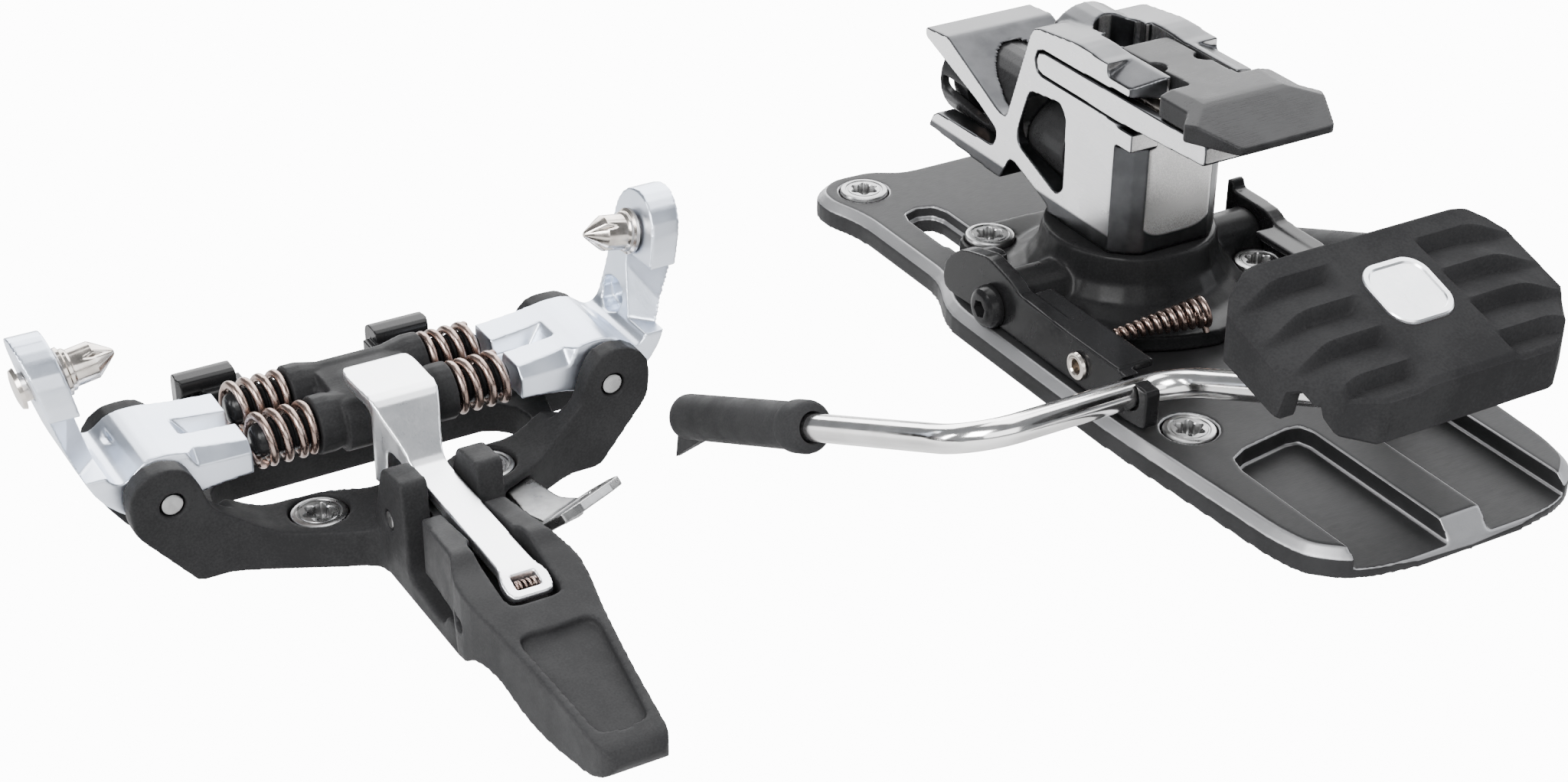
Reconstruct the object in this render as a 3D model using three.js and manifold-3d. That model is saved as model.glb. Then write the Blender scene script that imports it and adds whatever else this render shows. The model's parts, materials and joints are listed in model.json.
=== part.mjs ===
// Pin-type ski touring binding: toe unit with two sprung wings and heel unit with
// rotating tower, heel risers and ski brake.  Millimetres, +Z up, ski tip towards -Y.
// The origin is on the mounting plane, under the turning axis of the heel tower.
import * as THREE from 'three';
import { mergeVertices } from 'three/addons/utils/BufferGeometryUtils.js';
import { ConvexGeometry } from 'three/addons/geometries/ConvexGeometry.js';
import Module from 'manifold-3d';

const wasm = await Module();
wasm.setup();

// ---------------------------------------------------------------- driving dimensions
const GAP = 0.3;                 // clearance between touching pieces
const FINEST = 0.02;             // smallest step kept on a surface
const TOE_X = -124.7;            // toe centre plane from heel centre plane
const TOE_Y = -0.9;              // toe datum from tower axis

const WING_PIVOT = { x: 32.7, z: 12.7, r: 1.55 };
const WING_Y = [2.8, 18.5];      // width of a wing between its ears
const EAR_REAR_Y = 18.9;         // inner face of the rear ears
const WING_SLOPE = 0.192;        // outward lean of the open upright, x per z
const HEAD_Y = 11.5;
const HEAD_Z = 29.7;             // toe pin height on the mounting plane
const PIN = { flangeX: 41.5, tilt: 0.157, shank: 2.0, flange: 3.4, body: 2.6, bodyLength: 4.1,
  length: 7.0, through: 5.9 };
const SPRING_Y = [6.0, 15.8];    // front and rear toe spring axes
const SPRING_Z = 15.0;
const LOBE_X = 20.0;             // inner end of a wing
const BLOCK_X = 10.2;            // spring seat of the centre block
const SPRING = { from: 10.5, to: 19.0, coil: 3.35, wire: 0.62, turns: 4.5, guide: 2.3, seat: 4.2 };
const TOE_SCREW = { frontX: 12.6, frontY: -0.4, frontTop: 5.4, rearX: 7.0, rearY: 28.5, rearTop: 4.6 };
const CLIP_X = [11.0, 19.8];     // crampon clips on the rear of the toe base
const LEVER_AXLE = { y: -12.5, z: 9.0, r: 1.25, halfLength: 7.2 };

const LEASH_EYE = { x: 18.3, y: -17.9, z: 6.2, half: [7.2, 4.2], hole: [5.0, 2.2],
  rise: 40, fold: 25 };

const PLATE_TOP = 4.4;           // heel plate thickness
const PLATE_HALF = 28.4;         // wide front part
const WAIST_HALF = 23.9;         // narrow rear part
const PLATE_FRONT = -81.0;
const PLATE_POCKET = 1.5;        // floor of the two front pockets
const PLATE_CHAMFER = 1.5;
const PLATE_SCREWS = [['rear_left', -18.3, 49.2, 4.9], ['rear_right', 18.3, 49.2, 4.9],
  ['front_left', -18.7, -41.2, 4.5], ['front_right', 18.7, -41.2, 4.5]];
const CARRIAGE_SCREWS = [['rear_left', -12.9, 19.4], ['rear_right', 12.9, 19.4],
  ['mid_left', -19.2, -9.4], ['mid_right', 19.2, -9.4]];
const CARRIAGE_TOP = 7.4;
const TOWER_RADIUS = 13.0;
const TOWER_HALF = 10.3;         // half width over the machined sides
const TOWER_BASE = 16.2;
const SPIGOT_R = 7.5;            // the tower turns on this spigot in the carriage
const TUBE = { z: 25.3, r: 7.9, y0: 8.0, y1: 43.5 };
const HEEL_PIN = { x: 4.7, z: 40.2, r: 2.0 };
const RISER_AXLE = { y: -1.0, z: 44.5, r: 0.7 };
const BRACKET_X = [23.4, 26.0];  // brake bracket side plate
const BRAKE_AXIS = { y: -35.6, z: 9.4 };
const WIRE_R = 2.2;
const ARM_CORNER_X = 53.0;
const ARM_TIP = { x: 62.0, y: 35.4, z: -20.0 };
const PAD_HINGE = { x: 14.5, y: -66.0, z: 21.6, innerX: 7.6 };
const SLEEVE = { r: 3.75, from: 2.6, to: 38.5, wireEnd: 4.8 };  // measured up the arm from its tip
const BADGE = { half: 5.0, y0: -57.0, y1: -67.5 };
const BRACKET_SCREW = { y: -1.0, z: 7.9 };
const BRACKET_RIVET = { y: -23.6, z: 8.3 };

// ---------------------------------------------------------------- solids from geometries
function toSolid(geometry) {
  const bare = geometry.clone();
  bare.deleteAttribute('normal');
  bare.deleteAttribute('uv');
  const merged = mergeVertices(bare, 1e-4);
  return new wasm.Manifold(new wasm.Mesh({
    numProp: 3,
    vertProperties: new Float32Array(merged.attributes.position.array),
    triVerts: new Uint32Array(merged.index.array),
  }));
}

function toGeometry(solid) {
  const mesh = solid.getMesh();
  const geometry = new THREE.BufferGeometry();
  geometry.setAttribute('position', new THREE.BufferAttribute(new Float32Array(mesh.vertProperties), 3));
  geometry.setIndex(new THREE.BufferAttribute(new Uint32Array(mesh.triVerts), 1));
  geometry.computeVertexNormals();
  return geometry;
}

function union(...solids) {
  return solids.reduce((all, next) => all.add(next));
}

// Outline through [u, v, fillet] corners; a fillet is the length cut back at the corner.
function outline(points, scaleU = 1) {
  const shape = new THREE.Shape();
  const corners = points.map(([u, v]) => new THREE.Vector2(u * scaleU, v));
  corners.forEach((corner, i) => {
    const before = corners[(i + corners.length - 1) % corners.length];
    const after = corners[(i + 1) % corners.length];
    const room = 0.48 * Math.min(before.distanceTo(corner), after.distanceTo(corner));
    const fillet = Math.min(points[i][2] ?? 0, room);
    const start = before.clone().sub(corner).setLength(fillet).add(corner);
    const end = after.clone().sub(corner).setLength(fillet).add(corner);
    if (i === 0) shape.moveTo(start.x, start.y);
    else shape.lineTo(start.x, start.y);
    if (fillet > 0) shape.quadraticCurveTo(corner.x, corner.y, end.x, end.y);
  });
  shape.closePath();
  return shape;
}

// Closes a half outline, given for u >= 0 from the top of the centre line round to its foot.
function mirrored(points) {
  const other = points.filter(([u]) => u > 0).map(([u, v, fillet]) => [-u, v, fillet]);
  return [...points, ...other.reverse()];
}

const FRAMES = {
  plan: [new THREE.Vector3(1, 0, 0), new THREE.Vector3(0, 1, 0), new THREE.Vector3(0, 0, 1)],
  side: [new THREE.Vector3(0, 1, 0), new THREE.Vector3(0, 0, 1), new THREE.Vector3(1, 0, 0)],
  front: [new THREE.Vector3(-1, 0, 0), new THREE.Vector3(0, 0, 1), new THREE.Vector3(0, 1, 0)],
};

// Extrudes an outline between two stations: plan (x, y) along Z, side (y, z) along X,
// front (x, z) along Y.
function extrude(view, points, from, to, { bevel = 0, curve = 2, bevelSegments = 1 } = {}) {
  const shape = points instanceof THREE.Shape ? points : outline(points, view === 'front' ? -1 : 1);
  const geometry = new THREE.ExtrudeGeometry(shape, {
    depth: to - from - 2 * bevel,
    bevelEnabled: bevel > 0,
    bevelThickness: bevel,
    bevelSize: bevel,
    bevelOffset: -bevel,
    bevelSegments,
    curveSegments: curve,
  });
  geometry.translate(0, 0, from + bevel);
  geometry.applyMatrix4(new THREE.Matrix4().makeBasis(...FRAMES[view]));
  return toSolid(geometry);
}

function box(x, y, z) {
  const geometry = new THREE.BoxGeometry(x[1] - x[0], y[1] - y[0], z[1] - z[0]);
  geometry.translate((x[0] + x[1]) / 2, (y[0] + y[1]) / 2, (z[0] + z[1]) / 2);
  return toSolid(geometry);
}

function alongAxis(geometry, from, to) {
  const direction = new THREE.Vector3().subVectors(to, from).normalize();
  const turn = new THREE.Quaternion().setFromUnitVectors(new THREE.Vector3(0, 1, 0), direction);
  geometry.applyQuaternion(turn);
  geometry.translate(from.x, from.y, from.z);
  return geometry;
}

function rod(radius, from, to, sides = 16) {
  const start = new THREE.Vector3(...from);
  const end = new THREE.Vector3(...to);
  const length = start.distanceTo(end);
  const geometry = new THREE.CylinderGeometry(radius, radius, length, sides);
  geometry.translate(0, length / 2, 0);
  return toSolid(alongAxis(geometry, start, end));
}

// Turned part: [radius, station] corners from axis to axis, stations measured from `from`.
function turned(profile, from, to, sides = 16) {
  const points = profile.map(([radius, station]) => new THREE.Vector2(radius, station));
  const geometry = new THREE.LatheGeometry(points, sides);
  return toSolid(alongAxis(geometry, new THREE.Vector3(...from), new THREE.Vector3(...to)));
}

function slotHole(view, centre, halfLength, radius, from, to) {
  const [u, v] = centre;
  const points = [[u - halfLength, v - radius, radius], [u + halfLength, v - radius, radius],
    [u + halfLength, v + radius, radius], [u - halfLength, v + radius, radius]];
  return extrude(view, points, from, to);
}

// Box on one side of the centre plane, from |x| = range[0] to range[1], grown by `grow`.
function sideBox(s, range, grow, y, z) {
  const inner = s * (range[0] - grow);
  const outer = s * (range[1] + grow);
  return box([Math.min(inner, outer), Math.max(inner, outer)], y, z);
}

// Convex solid round the given corners, on the side s of the centre plane.
function hull(s, corners) {
  return toSolid(new ConvexGeometry(corners.map(([x, y, z]) => new THREE.Vector3(s * x, y, z))));
}

// The same outline on the side s of the centre plane.
function flip(points, s) {
  return points.map(([x, ...rest]) => [s * x, ...rest]);
}

class Helix extends THREE.Curve {
  constructor({ start, axis, length, turns, radiusAt }) {
    super();
    const up = Math.abs(axis.z) > 0.9 ? new THREE.Vector3(1, 0, 0) : new THREE.Vector3(0, 0, 1);
    this.start = start;
    this.axis = axis.clone().normalize();
    this.u = new THREE.Vector3().crossVectors(this.axis, up).normalize();
    this.v = new THREE.Vector3().crossVectors(this.axis, this.u);
    Object.assign(this, { length, turns, radiusAt });
  }

  getPoint(t, target = new THREE.Vector3()) {
    const angle = t * this.turns * 2 * Math.PI;
    const radius = this.radiusAt(t);
    return target.copy(this.start)
      .addScaledVector(this.axis, t * this.length)
      .addScaledVector(this.u, radius * Math.cos(angle))
      .addScaledVector(this.v, radius * Math.sin(angle));
  }
}

function tube(curve, radius, steps, sides) {
  const shape = new THREE.Shape();
  for (let i = 0; i < sides; i += 1) {
    const angle = (i / sides) * 2 * Math.PI;
    const corner = [radius * Math.cos(angle), radius * Math.sin(angle)];
    if (i === 0) shape.moveTo(...corner);
    else shape.lineTo(...corner);
  }
  shape.closePath();
  return toSolid(new THREE.ExtrudeGeometry(shape, { steps, extrudePath: curve, curveSegments: 1 }));
}

// Bent wire: straight runs joined by round bends, bends[i] being cut back at inner corner i.
function bentWire(points, bends, radius, sides = 10) {
  const path = new THREE.CurvePath();
  const corners = points.map((point) => new THREE.Vector3(...point));
  let last = corners[0];
  for (let i = 1; i < corners.length - 1; i += 1) {
    const start = corners[i - 1].clone().sub(corners[i]).setLength(bends[i - 1]).add(corners[i]);
    const end = corners[i + 1].clone().sub(corners[i]).setLength(bends[i - 1]).add(corners[i]);
    path.add(new THREE.LineCurve3(last, start));
    path.add(new THREE.QuadraticBezierCurve3(start, corners[i], end));
    last = end;
  }
  path.add(new THREE.LineCurve3(last, corners[corners.length - 1]));
  const steps = Math.ceil(path.getLength() / (2.4 * radius));
  return tube(path, radius, steps, sides);
}

// ---------------------------------------------------------------- finishes
const FINISHES = {
  wingAlloy: { color: 0xb4bdcc, metalness: 0.85, roughness: 0.34 },
  brightAlloy: { color: 0xdfe3ea, metalness: 0.9, roughness: 0.25 },
  towerAlloy: { color: 0x9b9b9d, metalness: 0.85, roughness: 0.35 },
  darkAlloy: { color: 0x55565a, metalness: 0.7, roughness: 0.42 },
  blackPlastic: { color: 0x1c1c1e, metalness: 0.0, roughness: 0.6 },
  glossBlack: { color: 0x0c0c0d, metalness: 0.1, roughness: 0.25 },
  leverGrey: { color: 0x3a3a3b, metalness: 0.1, roughness: 0.6 },
  rubber: { color: 0x262627, metalness: 0.0, roughness: 0.8 },
  chrome: { color: 0xe6e3df, metalness: 1.0, roughness: 0.12 },
  springSteel: { color: 0x8d6a5c, metalness: 1.0, roughness: 0.22 },
  screwSteel: { color: 0x8f8f90, metalness: 1.0, roughness: 0.35 },
  pinSteel: { color: 0xa59b90, metalness: 1.0, roughness: 0.28 },
};

const binding = new THREE.Group();
const toe = new THREE.Group();
toe.position.set(TOE_X, TOE_Y, 0);
const heel = new THREE.Group();
binding.add(toe, heel);

function add(group, name, solid, finish) {
  const clean = solid.simplify(FINEST);
  const mesh = new THREE.Mesh(toGeometry(clean), new THREE.MeshStandardMaterial(FINISHES[finish]));
  mesh.name = name;
  group.add(mesh);
}

const SIDES = [['left', -1], ['right', 1]];

// ---------------------------------------------------------------- screws
const SCREW = { head: 4.0, shank: 2.3, headHeight: 1.3, foot: 0.3, recess: 0.9 };

function torxRecess(x, y, top, size, depth) {
  const lobes = [];
  for (let i = 0; i < 12; i += 1) {
    const angle = (i / 12) * 2 * Math.PI;
    const reach = size * (i % 2 === 0 ? 1 : 0.68);
    lobes.push([x + reach * Math.cos(angle), y + reach * Math.sin(angle)]);
  }
  return extrude('plan', lobes, top - depth, top + 1);
}

function skiScrew(x, y, top) {
  const { head, shank, headHeight, foot, recess } = SCREW;
  const edge = 0.35;
  const profile = [[0, 0], [shank, 0], [shank, top - headHeight - foot], [head, top - headHeight - foot],
    [head, top - edge - foot], [head - edge, top - foot], [0, top - foot]];
  const body = turned(profile, [x, y, foot], [x, y, foot + 1]);
  return body.subtract(torxRecess(x, y, top, 2.2, recess));
}

function screwHole(x, y, top) {
  const { head, shank, headHeight } = SCREW;
  const seat = rod(head + GAP, [x, y, top - headHeight - GAP], [x, y, top + 5], 20);
  return seat.add(rod(shank + GAP, [x, y, -1], [x, y, top], 12));
}

// ---------------------------------------------------------------- toe base
function toeBase() {
  const frontView = mirrored([[0, 6.6], [7, 6.6, 1], [9, 5.6, 1], [19.5, 5.7, 2], [24.6, 8.4, 2],
    [27.6, 10.6, 1.5], [28.6, 14.6, 2], [30.6, 18.1, 2.5], [35.6, 18.4, 3], [38.7, 15.4, 2.5],
    [38.3, 9.6, 1.5], [30.3, 0, 0.6], [0, 0]]);
  const frontPlan = mirrored([[0, 0.5], [6.5, 0.5, 2], [9, 4.2, 2], [17, 4.3, 3], [24.5, 5.6, 2.4],
    [27.4, 2.4, 0.8], [38.9, 2.4], [38.9, -0.8, 0.6], [25.5, -0.8, 2], [20, -3.4, 3],
    [12.5, -7.2, 3], [7.4, -9.4, 2], [7.4, -14], [0, -14]]);
  const front = extrude('plan', frontPlan, -1, 19).intersect(extrude('front', frontView, -15, 8));

  const ringOuter = mirrored([[0, 21.8], [27, 21.8, 1], [27, 16.2, 3], [29.4, 16.2, 1], [26.6, 4.5, 2],
    [22, 1], [0, 1]]);
  const opening = mirrored([[0, 16.9], [19, 16.9, 4.5], [24, 13, 3], [24, 6.3, 3], [16.5, 4.2, 4],
    [9, 4.2, 3], [6.4, 0.4, 1.5], [0, 0.4]]);
  const ring = extrude('plan', ringOuter, 0, 4.8).subtract(extrude('plan', opening, -1, 8));

  const rearPlan = mirrored([[0, 36.5], [17.5, 36.5, 1.5], [17.5, 33, 1.5], [12, 31.5, 3],
    [12, 22.4, 3], [38.6, 22.0, 0.8], [38.6, 16.2, 2], [22, 16.2], [0, 16.2]]);
  const rearView = mirrored([[0, 4.8], [24, 4.8, 2], [27.4, 9, 2], [27.4, 14.4, 2.4], [29.6, 17.2, 2.6],
    [35.0, 17.4, 3], [38.2, 14.6, 2.6], [38.2, 6, 2], [34, 0, 1], [0, 0]]);
  const rear = extrude('plan', rearPlan, -1, 20).intersect(extrude('front', rearView, 10, 40));
  const wingRoom = box([-45, 45], [10, EAR_REAR_Y], [5.2, 30]);

  const neckView = [[1, 0], [1, 5.6], [-7.5, 6.4, 1], [-9.6, 13, 1.5], [-11.2, 16.6, 1], [-17.8, 17.2, 0.8],
    [-18.4, 9.6, 1.5], [-18.8, 3.4, 1.5], [-29.6, 2.4, 1], [-31, 4.6, 0.8],
    [-34.2, 4.4, 0.8], [-34.6, 0]];
  const leverRoom = box([-3.5, 3.5], [-40, -1.5], [2.8, 40]);
  const neck = extrude('side', neckView, -7.4, 7.4);

  let solid = union(front, ring, rear.subtract(wingRoom), neck).subtract(leverRoom);
  SIDES.forEach(([, s]) => {
    solid = solid
      .subtract(rod(WING_PIVOT.r + GAP, [s * WING_PIVOT.x, -5, WING_PIVOT.z],
        [s * WING_PIVOT.x, 30, WING_PIVOT.z]))
      .subtract(screwHole(s * TOE_SCREW.frontX, TOE_SCREW.frontY, TOE_SCREW.frontTop))
      .subtract(screwHole(s * TOE_SCREW.rearX, TOE_SCREW.rearY, TOE_SCREW.rearTop))
      .subtract(sideBox(s, [21.5, 27.6], 0, [WING_Y[0] - 0.4, 8], [7.9, 20]))
      .subtract(sideBox(s, CLIP_X, GAP, [34.2, 40], [1.2, 6]));
  });
  return solid
    .subtract(box([12.4, 17.6], [-12, -4.2], [2.4, 4.4]))
    .subtract(rod(LEVER_AXLE.r + GAP, [-12, LEVER_AXLE.y, LEVER_AXLE.z], [12, LEVER_AXLE.y, LEVER_AXLE.z]));
}

function cramponClip(s) {
  const view = [[34.5, 1.5], [39.2, 1.5, 1], [39.2, 9.2, 1], [37.8, 10.2, 0.8], [34.6, 10.0, 0.8],
    [34.2, 8.0, 0.8], [36.4, 6.4, 0.8], [36.2, 3.0, 0.8], [34.5, 2.8]];
  const [inner, outer] = CLIP_X;
  const plan = [[inner, 30], [outer - 1.6, 30], [outer, 36], [outer - 0.6, 42], [inner, 42]];
  const step = extrude('side', [[32.6, 5.6, 0.5], [37, 5.6], [37, 8.2], [32.6, 8.2, 0.6]],
    ...(s > 0 ? [9.8, 16.2] : [-16.2, -9.8]));
  const [low, high] = [s * inner, s * outer].sort((a, b) => a - b);
  return extrude('side', view, low, high).intersect(extrude('plan', flip(plan, s), 0, 20)).add(step);
}

// Steel eye for the leash: a tab under the base rim that turns up into a slotted ring.
function leashEye() {
  const tab = extrude('plan', [[12.8, -4.6], [17.2, -4.6], [18.6, -11.5, 1], [21.4, -13.2, 1],
    [20.4, -15.4, 1], [14.2, -17.0, 1], [12.6, -13]], 2.7, 4.1);
  const ring = slotHole('plan', [0, 0], ...LEASH_EYE.half, -0.7, 0.7)
    .subtract(slotHole('plan', [0, 0], ...LEASH_EYE.hole, -2, 2));
  const rise = THREE.MathUtils.degToRad(LEASH_EYE.rise);
  const fold = THREE.MathUtils.degToRad(LEASH_EYE.fold);
  const pose = new THREE.Matrix4().makeRotationFromEuler(new THREE.Euler(-rise, 0, fold, 'ZYX'))
    .setPosition(LEASH_EYE.x, LEASH_EYE.y, LEASH_EYE.z);
  return tab.add(ring.transform([...pose.elements]));
}

// ---------------------------------------------------------------- toe wing
function wing(s) {
  const lean = WING_SLOPE;
  const innerTop = [39.9 + lean * (36 - 16.4), 36];
  const section = [[LOBE_X, 12.2], [LOBE_X, 16.8], [27, 17.4, 2], [31.6, 18.3, 1.6], [34.8, 18.0, 1.2],
    [38.0, 15.5, 1.6], [39.9, 16.6, 1.4], innerTop, [48.3, 36, 0.5], [45.8, 25.8, 3],
    [43.2, 17.4, 3], [40.8, 13.0, 2.4], [37.0, 10.1, 2], [33.6, 9.2, 2], [27, 11.6, 2]];
  const sectionSolid = extrude('front', flip(section, s), WING_Y[0], WING_Y[1]);
  const sideView = [[WING_Y[0], 6], [WING_Y[0], 17.0, 1.4], [4.2, 19.6, 1.2], [5.0, 28.2, 2], [6.0, 32.6, 2],
    [8.9, 35.1, 1.4], [11.7, 35.8, 1.4], [14.8, 35.0, 1.4], [17.0, 32.6, 2], [17.4, 29.4, 2],
    [17.4, 22.4, 3], [WING_Y[1], 16.8, 1.6], [WING_Y[1], 6]];
  const sideSolid = extrude('side', sideView, -60, 60);
  const groove = hull(s, [[18, 9.8, 14.6], [18, 12.2, 14.6], [25.6, 9.8, 14.6], [25.6, 12.2, 14.6],
    [18, 8.4, 18.6], [18, 13.6, 18.6], [29.0, 8.4, 18.6], [29.0, 13.6, 18.6]]);
  const edge = hull(s, [[18, 2.2, 14.6], [18, 2.2, 19], [18, 6.2, 19], [27.6, 2.2, 14.8], [27.6, 2.2, 19],
    [27.6, 6.2, 19], [29.4, 2.2, 17.4], [29.4, 2.2, 19], [29.4, 3.4, 19]]);
  const pocket = slotHole('side', [14.2, 18.6], 3.0, 2.4, s > 0 ? 36 : -41.9, s > 0 ? 41.9 : -36);
  const chamfer = chamferWedge(s);
  const pinHole = rod(PIN.shank + GAP, pinPoint(s, 8), pinPoint(s, -16));
  const axleHole = rod(WING_PIVOT.r + GAP, [s * WING_PIVOT.x, -5, WING_PIVOT.z],
    [s * WING_PIVOT.x, 30, WING_PIVOT.z]);
  return [groove, edge, pocket, chamfer, pinHole, axleHole]
    .reduce((all, cut) => all.subtract(cut), sectionSolid.intersect(sideSolid));
}

// The front inner corner of an upright is cut back, more at the foot than under the head.
function chamferWedge(s) {
  const foot = [[37, 2], [46.0, 2], [41.6, 4.6], [39.6, 7.8], [37, 12]];
  const top = [[40.5, 2], [48.4, 2], [45.2, 5.2], [42.6, 10.0], [40.5, 14]];
  const corners = [...foot.map(([x, y]) => [x, y, 17.2]), ...top.map(([x, y]) => [x, y, 26.2])];
  return hull(s, corners);
}

// Point on a toe pin's axis, `distance` outwards from the centre of its flange face.
function pinPoint(s, distance) {
  return [s * (PIN.flangeX + distance * Math.cos(PIN.tilt)), HEAD_Y, HEAD_Z - distance * Math.sin(PIN.tilt)];
}

function toePin(s) {
  const { shank, flange, body, bodyLength, length, through } = PIN;
  const profile = [[0, 0], [0.5, 0.15], [body, length - bodyLength], [body, length], [flange, length],
    [flange, length + 0.6], [shank, length + 0.6], [shank, length + through], [shank + 0.9, length + through],
    [shank + 0.5, length + through + 0.7], [0, length + through + 0.7]];
  return turned(profile, pinPoint(s, -length), pinPoint(s, 0));
}

// ---------------------------------------------------------------- centre block, springs, lever
function centreBlock() {
  const web = [[4.6, 11.2], [4.6, 18.6, 1], [8.4, 17.0, 1], [13.6, 17.0, 1], [17.2, 18.2, 1], [17.2, 11.2]];
  const middle = [[1.6, 12.4, 1], [1.6, 17.0, 1], [3.4, 18.6, 1], [9.2, 18.4, 1], [11.0, 18.6, 1],
    [17.2, 18.2, 1.5], [20.0, 16.6, 1.5], [20.2, 12.6, 1.5], [18.0, 10.6, 1], [4.0, 10.6, 1]];
  const profile = [[0, 0], [SPRING.seat, 0], [SPRING.seat, 2.2], [3.5, 5.4], [3.5, 2 * BLOCK_X - 5.4],
    [SPRING.seat, 2 * BLOCK_X - 2.2], [SPRING.seat, 2 * BLOCK_X], [0, 2 * BLOCK_X]];
  const barrels = SPRING_Y.map((y) => turned(profile, [-BLOCK_X, y, SPRING_Z], [0, y, SPRING_Z], 20));
  const bridge = extrude('side', web, 3 - BLOCK_X, BLOCK_X - 3);
  return union(...barrels, bridge, extrude('side', middle, -6.4, 6.4));
}

function toeSpring(s, y) {
  const { coil, wire, turns, from, to } = SPRING;
  const curve = new Helix({
    start: new THREE.Vector3(s * (from + wire), y, SPRING_Z),
    axis: new THREE.Vector3(s, 0, 0),
    length: to - from - 2 * wire,
    turns,
    radiusAt: () => coil,
  });
  return tube(curve, wire, Math.round(turns * 8), 4);
}

function springRod(s, y) {
  const { guide, from, to } = SPRING;
  const profile = [[0, 0], [guide, 0], [guide, to - from - 0.6], [guide - 0.5, to - from], [0, to - from]];
  return turned(profile, [s * from, y, SPRING_Z], [s * to, y, SPRING_Z], 16);
}

function linkBar() {
  const view = [[-42.2, 11.4], [-42.2, 12.2], [-38.2, 13.5, 1], [-10.2, 14.1, 1.4], [-2.9, 22.0, 1.4],
    [7.8, 21.8, 0.8], [8.4, 20.6, 0.3], [-1.6, 20.2, 0.8], [-2.6, 19.6, 0.5], [-2.6, 9.2, 0.4],
    [-5.0, 9.2, 0.4], [-5.4, 15.4, 1], [-9.4, 12.4, 1.2], [-38.0, 11.9, 1]];
  const plan = mirrored([[0, 8.4], [4.6, 8.4, 1.6], [5.2, 5.0, 1], [5.0, -3.2, 1.6], [2.5, -8.6, 1.6],
    [2.5, -37.0, 1], [3.4, -39.4, 1.4], [3.0, -42.2, 1], [0, -42.2]]);
  const window = box([-1.7, 1.7], [-41.0, -38.6], [5, 20]);
  return extrude('side', view, -6, 6).intersect(extrude('plan', plan, 0, 30)).subtract(window);
}

function linkSpring() {
  const curve = new Helix({
    start: new THREE.Vector3(-1.35, -39.8, 12.2),
    axis: new THREE.Vector3(1, 0, 0),
    length: 2.7,
    turns: 4,
    radiusAt: () => 0.62,
  });
  return tube(curve, 0.2, 28, 4);
}

function toeLever() {
  const plan = mirrored([[0, -9.6], [3.1, -9.6, 0.6], [3.1, -20.4], [6.0, -20.4, 1], [6.9, -32, 1],
    [8.6, -36.5, 2], [8.4, -41, 3], [7.2, -47, 4], [5.7, -58, 4], [4.7, -69.4, 2], [3.6, -71.2, 1.2],
    [0, -71.4]]);
  const view = [[-9.6, 6.4, 0.6], [-9.6, 11.5, 0.6], [-20.2, 11.5], [-20.6, 13.4, 0.8], [-32.4, 14.6, 1],
    [-34.6, 13.6, 1], [-40, 12.6, 3], [-46, 11.3, 3], [-58, 9.2, 3], [-69.8, 7.0, 1], [-71.4, 5.6, 0.8],
    [-70.2, 3.4, 0.8], [-67, 1.6, 2], [-57, 0.6, 4], [-51, 1.8, 3], [-46, 4.4, 2], [-41, 4.2, 1.5],
    [-38.6, 2.2, 0.8], [-35.8, 2.2, 0.6], [-34.2, 5.4, 0.8], [-20.6, 5.2, 0.8], [-20.2, 6.4, 0.4]];
  const channel = box([-3.1, 3.1], [-32, -5], [11.5, 20]);
  const pocket = extrude('plan', mirrored([[0, -28], [3.9, -30, 1], [3.9, -43.1, 1.6], [0, -43.1]]), 8.6, 20);
  const dishPlan = mirrored([[0, -48.4], [5.6, -48.0, 2], [3.4, -66.8, 1.4], [0, -67.2]]);
  const dishDepth = [[-40, 11.4], [-58, 8.0], [-70, 5.8], [-70, 20], [-40, 20]];
  const dish = extrude('plan', dishPlan, 0, 20).intersect(extrude('side', dishDepth, -9, 9));
  let solid = extrude('plan', plan, 0, 20).intersect(extrude('side', view, -10, 10));
  SIDES.forEach(([, s]) => {
    const [low, high] = [s * 5.6, s * 12].sort((a, b) => a - b);
    solid = solid.subtract(slotHole('side', [-36.6, 7.2], 1.7, 1.0, low, high));
  });
  const axle = rod(LEVER_AXLE.r + GAP, [-12, LEVER_AXLE.y, LEVER_AXLE.z], [12, LEVER_AXLE.y, LEVER_AXLE.z]);
  return [channel, pocket, dish, axle].reduce((all, cut) => all.subtract(cut), solid);
}

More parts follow.
